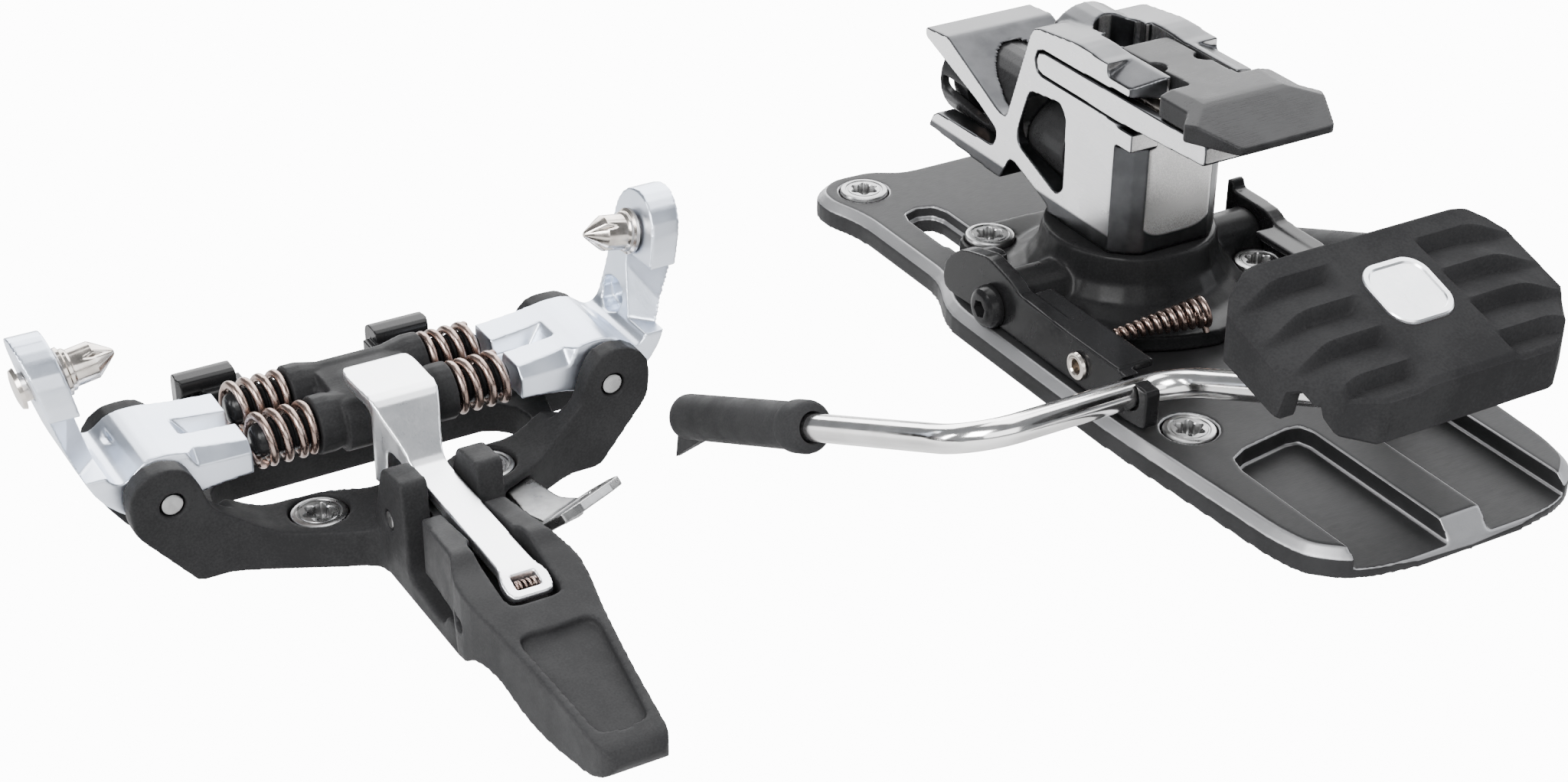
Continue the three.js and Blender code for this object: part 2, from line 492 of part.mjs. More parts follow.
// ---------------------------------------------------------------- heel plate and carriage
function heelPlate() {
  const plan = mirrored([[0, 53.6], [8.4, 53.6, 3], [12.6, 56.6, 3], [21.2, 57.0, 3.4], [25.6, 53.4, 3.4],
    [26.2, 48.6, 3.4], [24.6, 43.6, 3], [WAIST_HALF, 39.5, 3], [WAIST_HALF, 17.5, 3],
    [PLATE_HALF, 8.4, 4], [PLATE_HALF, -33, 8], [26.4, -60, 4], [25.8, -69, 3], [24.3, -74.5, 2],
    [20.4, -78.1, 2], [15.8, -79.8, 1.5], [9.7, PLATE_FRONT + 0.3], [0, PLATE_FRONT]]);
  const low = -2 * PLATE_CHAMFER;
  const raw = extrude('plan', plan, low, PLATE_TOP, { bevel: PLATE_CHAMFER, curve: 3 });
  const nose = [[70, 0], [70, 10], [PLATE_FRONT + 3.4, 10], [PLATE_FRONT + 3.4, PLATE_TOP],
    [PLATE_FRONT + 0.7, PLATE_POCKET], [PLATE_FRONT - 0.4, 0]];
  let solid = raw.intersect(extrude('side', nose, -40, 40));
  SIDES.forEach(([, s]) => {
    const slot = [[11, 7, 2.9], [17, 7, 2.9], [17, 38.6, 2.9], [11, 38.6, 2.9]];
    const ledge = [[10.4, 25, 0.5], [17.6, 25, 0.5], [17.6, 39.3, 3.4], [10.4, 39.3, 3.4]];
    const pocket = [[3.6, -47.8, 3], [19.2, -50.2, 4], [19.2, -90], [3.6, -90]];
    solid = solid
      .subtract(extrude('plan', flip(slot, s), -1, 6))
      .subtract(extrude('plan', flip(ledge, s), 2.4, 6))
      .subtract(extrude('plan', flip(pocket, s), PLATE_POCKET, 6));
  });
  return PLATE_SCREWS.reduce((all, [, x, y, top]) => all.subtract(screwHole(x, y, top)), solid);
}

function carriage() {
  const floor = PLATE_TOP + GAP;
  const plan = mirrored([[0, 23.6], [13, 24.2, 3], [18.2, 21.6, 3], [18.4, 12.5, 2], [16.4, 7.6, 3],
    [16.8, 4.0, 2], [22.6, -4.4, 2], [23.0, -12.6, 3], [14.6, -18.6, 4], [6, -22.8, 4], [0, -24.0]]);
  const slab = extrude('plan', plan, floor, CARRIAGE_TOP);
  const collar = turned([[0, floor], [19, floor], [19, CARRIAGE_TOP], [16, 9.0], [14.4, 11.5],
    [13.6, TOWER_BASE - GAP], [0, TOWER_BASE - GAP]], [0, 0, 0], [0, 0, 1], 28);
  const boss = rod(4.8, [-23.1, BRACKET_SCREW.y, BRACKET_SCREW.z], [23.1, BRACKET_SCREW.y, BRACKET_SCREW.z])
    .subtract(box([-30, 30], [-20, 20], [-5, floor]));
  const spigotHole = rod(SPIGOT_R + GAP, [0, 0, 8], [0, 0, 30], 20);
  let solid = union(slab, collar, boss).subtract(spigotHole);
  SIDES.forEach(([, s]) => {
    solid = solid.subtract(rod(2.2, [s * 30, BRACKET_SCREW.y, BRACKET_SCREW.z],
      [s * 15.4, BRACKET_SCREW.y, BRACKET_SCREW.z], 16));
  });
  return CARRIAGE_SCREWS.reduce((all, [, x, y]) => all
    .subtract(rod(SCREW.head + GAP, [x, y, CARRIAGE_TOP - 0.9], [x, y, 20], 20))
    .subtract(rod(SCREW.shank + GAP, [x, y, 0], [x, y, 20], 12)), solid);
}

function carriageScrew(x, y) {
  const seat = CARRIAGE_TOP - 0.6;
  const foot = PLATE_TOP + GAP;
  const profile = [[0, 0], [SCREW.shank, 0], [SCREW.shank, seat - foot], [SCREW.head, seat - foot],
    [SCREW.head, seat - foot + 1.0], [SCREW.head - 0.35, seat - foot + 1.35], [0, seat - foot + 1.35]];
  const body = turned(profile, [x, y, foot], [x, y, foot + 1]);
  return body.subtract(torxRecess(x, y, seat + 1.35, 2.2, 0.9));
}

// ---------------------------------------------------------------- heel tower
function tower() {
  const view = [[-4.6, TOWER_BASE], [6.6, TOWER_BASE, 1], [8.8, 17.6, 1], [17.2, 20.8, 1], [18.7, 21.0, 0.6],
    [21.4, 16.5, 0.4], [42.3, 17.7, 0.4], [41.1, 20.0], [39.8, 20.9, 0.4], [23.4, 21.4, 1.2],
    [22.6, 24.4, 1.2], [28.6, 27.3, 1], [44.0, 32.9, 0.4], [44.2, 34.5, 0.4], [37.7, 35.1, 0.6],
    [22.7, 28.0, 1], [20.4, 27.6, 1], [14.5, 45.3, 1.6], [2.3, 46.8, 2], [-4.5, 46.2, 1.4],
    [-6.2, 42.9, 1], [-6.2, 35.0, 1], [-4.6, 33.6, 0.6]];
  const frame = extrude('side', view, -TOWER_HALF, TOWER_HALF);
  const prongs = SIDES.map(([, s]) => prong(s, s > 0 ? -14.2 : -11.4));
  const stops = SIDES.map(([, s]) => sideBox(s, [5.2, TOWER_HALF], 0, [-12.0, -5.6], [34.3, 37.4]));
  const column = rod(TOWER_RADIUS, [0, 0, TOWER_BASE], [0, 0, 38], 28)
    .intersect(box([-TOWER_HALF, TOWER_HALF], [-11.4, 20], [0, 50]));
  const spigot = rod(SPIGOT_R, [0, 0, 8.4], [0, 0, 20], 20);
  const barrel = rod(7.4, [0, 3, 39.6], [0, 15.6, 39.6], 24);
  let solid = union(frame, column, spigot, barrel, ...stops, ...prongs);

  const windowView = [[14.3, 34.5, 1], [6.1, 35.5, 1], [4.6, 33.6, 1], [4.3, 21.6, 1], [6.0, 20.2, 1],
    [16.8, 24.5, 1], [16.9, 27.0, 1]];
  const armSlot = [[13.3, 38.1, 2], [13.3, 42.3, 2], [-5.6, 42.6], [-9, 42.6], [-9, 37.8], [-5.6, 38.0]];
  const sides = [[windowView, 4.2], [armSlot, 8.3]];
  sides.forEach(([points, depth]) => {
    solid = solid
      .subtract(extrude('side', points, depth, 20))
      .subtract(extrude('side', points, -20, -depth));
  });
  const tubeRoom = rod(TUBE.r + GAP, [0, TUBE.y0 - GAP, TUBE.z], [0, 60, TUBE.z], 28);
  const neckRoom = box([-4.8, 4.8], [-20, 4.4], [42.3, 60]);
  const socket = rod(4.0, [0, 6.0, 41], [0, 6.0, 60], 24);
  solid = [tubeRoom, neckRoom, socket].reduce((all, cut) => all.subtract(cut), solid);
  SIDES.forEach(([, s]) => {
    solid = solid.subtract(rod(HEEL_PIN.r + GAP, [s * HEEL_PIN.x, -30, HEEL_PIN.z],
      [s * HEEL_PIN.x, -0.4, HEEL_PIN.z], 20));
  });
  return solid.subtract(rod(RISER_AXLE.r + GAP, [-9.7, RISER_AXLE.y, RISER_AXLE.z],
    [9.7, RISER_AXLE.y, RISER_AXLE.z], 16));
}

// Prong beside the riser plate's neck, its outer front corner sloping down.
function prong(s, reach) {
  const plan = [[4.9, 1], [TOWER_HALF, 1], [TOWER_HALF, reach + 0.6, 0.6], [9.6, reach, 0.6],
    [4.9, reach - 2.6, 0.8]];
  const slope = [[5.6, 46.4], [TOWER_HALF + 0.4, 44.2], [TOWER_HALF + 0.4, 50], [5.6, 50]];
  return extrude('plan', flip(plan, s), 42.9, 46.3).subtract(extrude('front', flip(slope, s), -30, -5));
}

function springTube() {
  const { r, z, y0, y1 } = TUBE;
  const wall = 1.6;
  const profile = [[0, 0], [r, 0], [r, y1 - y0 - 0.6], [r - 0.6, y1 - y0], [r - wall, y1 - y0],
    [r - wall, 2], [0, 2]];
  const barrel = turned(profile, [0, y0, z], [0, y0 + 1, z], 28);
  const slots = [-1, 1].map((s) => {
    const [low, high] = [s * 4, s * 12].sort((a, b) => a - b);
    return extrude('side', [[42.4, 24.0, 0.9], [42.4, 26.2, 0.9], [32.6, 26.2, 0.9], [28.6, 22.8, 0.9],
      [30.4, 21.6, 0.9]], low, high);
  });
  return slots.reduce((all, cut) => all.subtract(cut), barrel);
}

function releaseSpring() {
  const curve = new Helix({
    start: new THREE.Vector3(0, TUBE.y0 + 3.4, TUBE.z),
    axis: new THREE.Vector3(0, 1, 0),
    length: 24,
    turns: 6,
    radiusAt: () => 4.6,
  });
  return tube(curve, 0.9, 42, 4);
}

function adjustScrew() {
  const profile = [[0, 0], [2.4, 0], [2.4, 2.6], [6.0, 2.6], [6.0, 6.6], [5.4, 7.2], [2.0, 7.2],
    [2.0, 4.6], [0, 4.6]];
  return turned(profile, [0, TUBE.y1 - 8.4, TUBE.z], [0, TUBE.y1, TUBE.z], 20);
}

function heelPin(s) {
  const { x, z, r } = HEEL_PIN;
  const profile = [[0, 0], [r - 0.8, 0], [r, 0.8], [r, 15.4], [0, 15.4]];
  return turned(profile, [s * x, -16.2, z], [s * x, 0, z]);
}

// ---------------------------------------------------------------- heel risers
function riserFrame() {
  const arm = [[13.0, 38.4, 1.8], [13.0, 42.0, 1.8], [-29.2, 42.5, 0.6], [-29.2, 39.2, 0.6], [-8, 38.1]];
  const arms = SIDES.map(([, s]) => {
    const [low, high] = [s * 8.6, s * TOWER_HALF].sort((a, b) => a - b);
    return extrude('side', arm, low, high);
  });
  const bridge = extrude('side', [[-23.4, 42.4, 0.6], [-29.2, 42.5, 0.6], [-29.2, 39.2, 0.6],
    [-24.6, 39.0, 0.6]], -TOWER_HALF, TOWER_HALF);
  return union(...arms, bridge);
}

function riserPlate() {
  const plan = mirrored([[0, 0.3], [3.4, 0.3, 0.4], [4.4, -0.8, 0.4], [4.4, -17.4, 0.5],
    [TOWER_HALF, -17.4, 0.8], [TOWER_HALF, -24.4, 0.4], [12.7, -26.6, 0.6], [8.4, -35.0, 0.8], [0, -35.0]]);
  const view = [[0.3, 43.6, 0.8], [0.3, 46.0, 0.8], [-10, 46.2, 1], [-24.1, 46.7, 1], [-35.1, 43.9, 0.3],
    [-35.1, 42.8, 0.3], [-17, 42.8], [-16, 43.3]];
  const crown = frontRoof();
  let solid = extrude('plan', plan, 40, 50).intersect(extrude('side', view, -15, 15)).intersect(crown);
  SIDES.forEach(([, s]) => {
    solid = solid.subtract(rod(1.8, [s * 4.7, -9.3, 40], [s * 4.7, -9.3, 50], 16));
  });
  return solid.subtract(rod(RISER_AXLE.r + GAP, [-12, RISER_AXLE.y, RISER_AXLE.z],
    [12, RISER_AXLE.y, RISER_AXLE.z], 16));
}

// The plate's top slopes down towards both sides of the nose.
function frontRoof() {
  return extrude('front', mirrored([[0, 47], [7.4, 46.6], [13.4, 45.2], [13.4, 40], [0, 40]]), -40, 5);
}

// ---------------------------------------------------------------- brake
function bracket(s) {
  const rear = s < 0 ? [[13, 4.8, 1.6], [13.2, 9.6, 2.4], [8.6, 13.4, 2], [4.7, 14.4, 1], [1.3, 15.2, 1]]
    : [[5.0, 4.8, 0.8], [5.0, 15.4, 0.4], [3.9, 15.4, 0.4], [3.4, 14.0, 0.6]];
  const view = [...rear, [-5.2, 13.8, 1.4], [-7.2, 12.6, 0.8], [-39.8, 11.6, 0.8], [-39.8, 5.4, 0.8],
    [-36, 4.8, 1]];
  const [low, high] = [s * BRACKET_X[0], s * BRACKET_X[1]].sort((a, b) => a - b);
  const plate = extrude('side', view, low, high);
  const flange = sideBox(s, [19.6, BRACKET_X[1]], 0, [-32.8, -7.4], [11.0, 12.2]);
  const housing = extrude('side', [[13, 4.8, 1.6], [13.2, 9.6, 2.4], [8.6, 12.4, 2], [5.2, 12.4, 1],
    [5.2, 4.8]], -24, -19.2);
  const bores = [
    rod(2.3, [s * 15, BRACKET_SCREW.y, BRACKET_SCREW.z], [s * 40, BRACKET_SCREW.y, BRACKET_SCREW.z], 20),
    rod(1.5, [s * 15, BRACKET_RIVET.y, BRACKET_RIVET.z], [s * 40, BRACKET_RIVET.y, BRACKET_RIVET.z], 16),
    rod(WIRE_R + GAP, [s * 15, BRAKE_AXIS.y, BRAKE_AXIS.z], [s * 40, BRAKE_AXIS.y, BRAKE_AXIS.z], 24),
  ];
  const solid = s < 0 ? union(plate, flange, housing) : union(plate, flange);
  return bores.reduce((all, bore) => all.subtract(bore), solid);
}

function bracketScrew(s) {
  const { y, z } = BRACKET_SCREW;
  const profile = [[0, 0], [1.9, 0], [1.9, 9.4], [3.4, 9.4], [3.4, 10.2], [3.0, 11.4], [2.2, 11.8],
    [1.5, 11.8], [1.5, 10.4], [0, 10.4]];
  return turned(profile, [s * 16.9, y, z], [s * 20, y, z]);
}

function bracketRivet(s) {
  const { y, z } = BRACKET_RIVET;
  const profile = [[0, 0], [1.2, 0], [1.2, 3.6], [2.2, 3.6], [2.1, 4.2], [1.1, 4.3], [1.0, 3.7], [0, 3.7]];
  return turned(profile, [s * 22.6, y, z], [s * 26, y, z]);
}

function brakeArm(s) {
  const { y, z } = BRAKE_AXIS;
  return bentWire([[s * PAD_HINGE.innerX, PAD_HINGE.y, PAD_HINGE.z],
    [s * PAD_HINGE.x, PAD_HINGE.y, PAD_HINGE.z], [s * 18.0, y, z], [s * ARM_CORNER_X, y, z],
    armPoint(s, SLEEVE.wireEnd).toArray()], [3.2, 5.2, 8.0], WIRE_R);
}

function armPoint(s, fromTip) {
  const corner = new THREE.Vector3(s * ARM_CORNER_X, BRAKE_AXIS.y, BRAKE_AXIS.z);
  const tip = new THREE.Vector3(s * ARM_TIP.x, ARM_TIP.y, ARM_TIP.z);
  return corner.sub(tip).setLength(fromTip).add(tip);
}

function brakeTip(s) {
  const end = armPoint(s, SLEEVE.from);
  const start = armPoint(s, SLEEVE.to);
  const length = SLEEVE.to - SLEEVE.from;
  const cap = SLEEVE.wireEnd - SLEEVE.from - GAP;
  const bore = WIRE_R + GAP;
  const profile = [[0, 0], [SLEEVE.r - 0.8, 0], [SLEEVE.r, 0.8], [SLEEVE.r, length - 1.6],
    [SLEEVE.r + 0.4, length - 0.8], [SLEEVE.r - 0.4, length], [bore, length], [bore, cap], [0, cap]];
  const sleeve = turned(profile, end.toArray(), start.toArray());
  const down = end.clone().add(new THREE.Vector3(0, 3.0, -9.6));
  const wide = new THREE.Vector3(1, 0, 0);
  const root = [armPoint(s, SLEEVE.from + 9), armPoint(s, SLEEVE.from + 1.2)];
  const corners = [1, -1].flatMap((k) => [down.clone().addScaledVector(wide, k * 0.5),
    ...root.map((point) => point.clone().addScaledVector(wide, k * 1.4).add(new THREE.Vector3(0, 0, -2.9)))]);
  return sleeve.add(toSolid(new ConvexGeometry(corners)));
}

function brakePad() {
  const plan = mirrored([[0, -50.5], [25.5, -50.5, 1.4], [25.6, -66, 3], [19.7, -72.6, 2], [15.4, -76.2, 1.4],
    [0, -76.6]]);
  const view = [[-50.5, 25.0, 0.6], [-50.5, 32.0, 0.8], [-54.2, 31.6], [-60.3, 30.7], [-66.1, 29.2],
    [-72.2, 27.6], [-76.8, 26.2, 1], [-75.2, 18.8, 0.8], [-66, 21.6]];
  let solid = extrude('plan', plan, 10, 40).intersect(extrude('side', view, -30, 30));
  const grooves = [[-54.2, 31.6], [-60.3, 30.7], [-66.1, 29.2], [-72.2, 27.6]];
  grooves.forEach(([y, z]) => {
    const cut = [[y - 0.9, z + 1], [y - 0.25, z - 0.9], [y + 0.25, z - 0.9], [y + 0.9, z + 1]];
    solid = solid.subtract(extrude('side', cut, -30, -BADGE.half - 1.4))
      .subtract(extrude('side', cut, BADGE.half + 1.4, 30));
  });
  SIDES.forEach(([, s]) => {
    const boss = sideBox(s, [6.8, 11.0], 0, [PAD_HINGE.y - 4, PAD_HINGE.y + 4], [PAD_HINGE.z - 3.6, 25]);
    const [low, high] = [s * 11.0, s * 21.4].sort((a, b) => a - b);
    const room = extrude('side', [[-70, 10], [-70, 23.8], [-66, 24.6], [-49, 28.2], [-49, 10]], low, high);
    const bore = rod(WIRE_R + GAP, [s * 6, PAD_HINGE.y, PAD_HINGE.z], [s * 14, PAD_HINGE.y, PAD_HINGE.z]);
    solid = solid.add(boss).subtract(room).subtract(bore);
  });
  const seat = [[BADGE.y0, 29.7], [BADGE.y0, 33], [BADGE.y1, 33], [BADGE.y1, 27.6]];
  return solid.subtract(extrude('side', seat, -BADGE.half - 0.2, BADGE.half + 0.2));
}

function padBadge() {
  return extrude('side', [[BADGE.y0 - 0.2, 30.0], [BADGE.y0 - 0.2, 30.9], [BADGE.y1 + 0.2, 28.8],
    [BADGE.y1 + 0.2, 27.9]], -BADGE.half, BADGE.half);
}

function brakeSpring() {
  const curve = new Helix({
    start: new THREE.Vector3(-17, -20.5, 9.6),
    axis: new THREE.Vector3(14, -4, 2.4),
    length: 14.6,
    turns: 9,
    radiusAt: (t) => 1.1 + 1.9 * t,
  });
  return tube(curve, 0.5, 63, 4);
}

// ---------------------------------------------------------------- assembly
add(toe, 'toe_base', toeBase(), 'blackPlastic');
SIDES.forEach(([side, s]) => {
  const rows = [['front', TOE_SCREW.frontX, TOE_SCREW.frontY, TOE_SCREW.frontTop],
    ['rear', TOE_SCREW.rearX, TOE_SCREW.rearY, TOE_SCREW.rearTop]];
  rows.forEach(([row, x, y, top]) => {
    add(toe, `toe_screw_${row}_${side}`, skiScrew(s * x, y, top), 'screwSteel');
  });
  add(toe, `toe_wing_${side}`, wing(s), 'wingAlloy');
  add(toe, `toe_pin_${side}`, toePin(s), 'pinSteel');
  add(toe, `wing_axle_${side}`, rod(WING_PIVOT.r, [s * WING_PIVOT.x, -0.5, WING_PIVOT.z],
    [s * WING_PIVOT.x, 21.5, WING_PIVOT.z]), 'screwSteel');
  SPRING_Y.forEach((y, i) => {
    const place = `${i === 0 ? 'front' : 'rear'}_${side}`;
    add(toe, `toe_spring_${place}`, toeSpring(s, y), 'springSteel');
    add(toe, `spring_rod_${place}`, springRod(s, y), 'screwSteel');
  });
  add(toe, `crampon_clip_${side}`, cramponClip(s), 'glossBlack');
});
add(toe, 'centre_block', centreBlock(), 'blackPlastic');
add(toe, 'link_bar', linkBar(), 'brightAlloy');
add(toe, 'link_spring', linkSpring(), 'springSteel');
add(toe, 'toe_lever', toeLever(), 'leverGrey');
add(toe, 'lever_axle', rod(LEVER_AXLE.r, [-LEVER_AXLE.halfLength, LEVER_AXLE.y, LEVER_AXLE.z],
  [LEVER_AXLE.halfLength, LEVER_AXLE.y, LEVER_AXLE.z]), 'screwSteel');
add(toe, 'leash_eye', leashEye(), 'screwSteel');

add(heel, 'heel_plate', heelPlate(), 'darkAlloy');
PLATE_SCREWS.forEach(([place, x, y, top]) => {
  add(heel, `plate_screw_${place}`, skiScrew(x, y, top), 'screwSteel');
});
add(heel, 'heel_carriage', carriage(), 'blackPlastic');
CARRIAGE_SCREWS.forEach(([place, x, y]) => {
  add(heel, `carriage_screw_${place}`, carriageScrew(x, y), 'screwSteel');
});
add(heel, 'heel_tower', tower(), 'towerAlloy');
add(heel, 'spring_tube', springTube(), 'darkAlloy');
add(heel, 'release_spring', releaseSpring(), 'springSteel');
add(heel, 'adjust_screw', adjustScrew(), 'glossBlack');
add(heel, 'riser_frame', riserFrame(), 'brightAlloy');
add(heel, 'riser_plate', riserPlate(), 'darkAlloy');
add(heel, 'riser_axle', rod(RISER_AXLE.r, [-9.4, RISER_AXLE.y, RISER_AXLE.z],
  [9.4, RISER_AXLE.y, RISER_AXLE.z], 16), 'screwSteel');
SIDES.forEach(([side, s]) => {
  add(heel, `heel_pin_${side}`, heelPin(s), 'pinSteel');
  add(heel, `brake_bracket_${side}`, bracket(s), 'glossBlack');
  add(heel, `bracket_screw_${side}`, bracketScrew(s), 'glossBlack');
  add(heel, `bracket_rivet_${side}`, bracketRivet(s), 'pinSteel');
  add(heel, `brake_arm_${side}`, brakeArm(s), 'chrome');
  add(heel, `brake_tip_${side}`, brakeTip(s), 'rubber');
});
add(heel, 'brake_pad', brakePad(), 'rubber');
add(heel, 'pad_badge', padBadge(), 'brightAlloy');
add(heel, 'brake_spring', brakeSpring(), 'springSteel');

export default binding;
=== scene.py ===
"""Pin-type ski touring binding on a pale studio floor.

The toe unit has two sprung wings with pins and a locking lever, and the heel unit has a
turning tower with risers, a release spring and a ski brake.  Lengths are in metres where MM is
applied; the rings of turned pieces and the boot pad's outlines are in millimetres.  +Z is up and
the ski tip lies towards -Y.
"""
import json
import math

import bmesh
import bpy
from mathutils import Matrix, Vector


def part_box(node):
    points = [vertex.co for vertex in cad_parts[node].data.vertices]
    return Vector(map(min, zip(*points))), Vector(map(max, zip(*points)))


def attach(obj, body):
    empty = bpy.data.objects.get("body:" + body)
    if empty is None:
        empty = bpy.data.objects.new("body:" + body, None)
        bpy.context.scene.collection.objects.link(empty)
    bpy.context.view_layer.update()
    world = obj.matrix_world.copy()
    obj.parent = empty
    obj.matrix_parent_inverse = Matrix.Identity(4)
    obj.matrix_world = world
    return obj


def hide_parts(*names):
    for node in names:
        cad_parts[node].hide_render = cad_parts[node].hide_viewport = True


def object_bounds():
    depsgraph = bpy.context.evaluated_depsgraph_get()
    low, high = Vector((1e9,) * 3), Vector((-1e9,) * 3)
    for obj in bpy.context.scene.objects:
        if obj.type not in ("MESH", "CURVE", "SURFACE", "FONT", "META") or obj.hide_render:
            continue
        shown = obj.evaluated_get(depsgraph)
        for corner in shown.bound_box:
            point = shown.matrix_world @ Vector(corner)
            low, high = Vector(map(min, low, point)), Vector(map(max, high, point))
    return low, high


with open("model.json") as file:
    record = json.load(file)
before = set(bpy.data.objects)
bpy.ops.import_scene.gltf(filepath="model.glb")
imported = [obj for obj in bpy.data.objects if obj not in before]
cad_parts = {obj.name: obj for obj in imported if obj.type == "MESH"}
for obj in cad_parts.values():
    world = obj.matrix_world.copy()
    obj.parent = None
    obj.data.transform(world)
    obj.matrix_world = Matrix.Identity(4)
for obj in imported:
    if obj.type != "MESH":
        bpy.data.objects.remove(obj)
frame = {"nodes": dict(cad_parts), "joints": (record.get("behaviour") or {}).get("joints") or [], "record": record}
nodes = frame["nodes"]
cad_box = [list(corner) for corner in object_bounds()]

MM = 0.001
SIDES = (("left", -1), ("right", 1))
ROUND = 64
BODY_OF = {node: body for body, members in frame["record"]["behaviour"]["bodies"].items()
           for node in members}


# ---------------------------------------------------------------- camera, floor and light
# place in metres and turns that show the part as the photograph does
CAMERA_PLACE = Vector((-0.24608, -0.31020, 0.210))
CAMERA_YAW = math.radians(30.58)
CAMERA_DOWN = math.radians(29.93)
CAMERA_ROLL = math.radians(0.49)
CAMERA_LENS = 63.83
FLOOR_BELOW = 1.0 * MM
FLOOR_REACH = 6.0
FLOOR_TONES = ((0.66, 0.66, 0.66), (0.70, 0.70, 0.70))
FLOOR_GLOW = 14.0
FLOOR_GLOW_SHARE = 0.9
WORLD_COLOUR = (0.93, 0.96, 1.0, 1)
WORLD_STRENGTH = 0.28
NEUTRAL = (1, 1, 1)
COOL = (0.95, 0.97, 1)

# name, place from the middle of the part, size in metres, power in watts, colour
LIGHTS = (
    ("key", (-0.72, -0.45, 0.78), (0.6, 0.6), 22, NEUTRAL),
    ("front", (-0.20, -1.10, 0.50), (1.2, 0.7), 8, NEUTRAL),
    ("back", (0.60, 0.95, 0.60), (1.8, 1.1), 42, NEUTRAL),
    ("top", (0.36, 0.22, 1.10), (0.9, 0.7), 11, NEUTRAL),
    ("right", (0.95, -0.30, 0.45), (0.4, 0.8), 4, COOL),
    ("strip", (-0.9, 0.25, 0.25), (0.16, 0.7), 7, NEUTRAL),
)


def make_camera():
    forward = Vector((math.sin(CAMERA_YAW) * math.cos(CAMERA_DOWN),
                      math.cos(CAMERA_YAW) * math.cos(CAMERA_DOWN), -math.sin(CAMERA_DOWN)))
    level = Vector((math.cos(CAMERA_YAW), -math.sin(CAMERA_YAW), 0))
    upright = level.cross(forward)
    right = level * math.cos(CAMERA_ROLL) + upright * math.sin(CAMERA_ROLL)
    up = upright * math.cos(CAMERA_ROLL) - level * math.sin(CAMERA_ROLL)
    data = bpy.data.cameras.new("camera")
    data.lens = CAMERA_LENS
    data.clip_start = 0.01
    camera = bpy.data.objects.new("camera", data)
    camera.matrix_world = (Matrix.Translation(CAMERA_PLACE)
                           @ Matrix((right, up, -forward)).transposed().to_4x4())
    bpy.context.scene.collection.objects.link(camera)
    bpy.context.scene.camera = camera


def area_light(name, place, aim, size, power, colour):
    data = bpy.data.lights.new(name, "AREA")
    data.shape = "RECTANGLE"
    data.size, data.size_y = size
    data.energy = power
    data.color = colour
    light = bpy.data.objects.new(name, data)
    light.matrix_world = Matrix.Translation(place) @ aim.to_track_quat("-Z", "Y").to_matrix().to_4x4()
    bpy.context.scene.collection.objects.link(light)


def make_floor():
    """Pale floor that also glows where the camera looks straight at it, so it comes out near white."""
    height = cad_box[0][2] - FLOOR_BELOW
    mesh = bpy.data.meshes.new("floor")
    mesh.from_pydata([(x * FLOOR_REACH, y * FLOOR_REACH, height)
                      for x, y in ((-1, -1), (1, -1), (1, 1), (-1, 1))], [], [(0, 1, 2, 3)])
    floor = bpy.data.objects.new("floor", mesh)
    bpy.context.scene.collection.objects.link(floor)
    paint = Recipe("studio_floor", specular=0.1)
    paint.rough(0.9)
    paint.colour(paint.blend(paint.noise(60), *FLOOR_TONES))
    glow = paint.tree.nodes.new("ShaderNodeEmission")
    glow.inputs["Strength"].default_value = FLOOR_GLOW
    ray = paint.tree.nodes.new("ShaderNodeLightPath")
    mix = paint.tree.nodes.new("ShaderNodeMixShader")
    paint.link(paint.maths("MULTIPLY", ray.outputs["Is Camera Ray"], FLOOR_GLOW_SHARE), mix.inputs[0])
    paint.link(paint.shader.outputs["BSDF"], mix.inputs[1])
    paint.link(glow.outputs["Emission"], mix.inputs[2])
    paint.link(mix.outputs["Shader"], paint.tree.nodes["Material Output"].inputs["Surface"])
    floor.data.materials.append(paint.material)


def make_lights():
    world = bpy.data.worlds.new("studio")
    world.use_nodes = True
    background = world.node_tree.nodes["Background"]
    background.inputs["Color"].default_value = WORLD_COLOUR
    background.inputs["Strength"].default_value = WORLD_STRENGTH
    bpy.context.scene.world = world
    middle = (Vector(cad_box[0]) + Vector(cad_box[1])) / 2
    for name, offset, size, power, colour in LIGHTS:
        place = middle + Vector(offset)
        area_light(name, place, middle - place, size, power, colour)


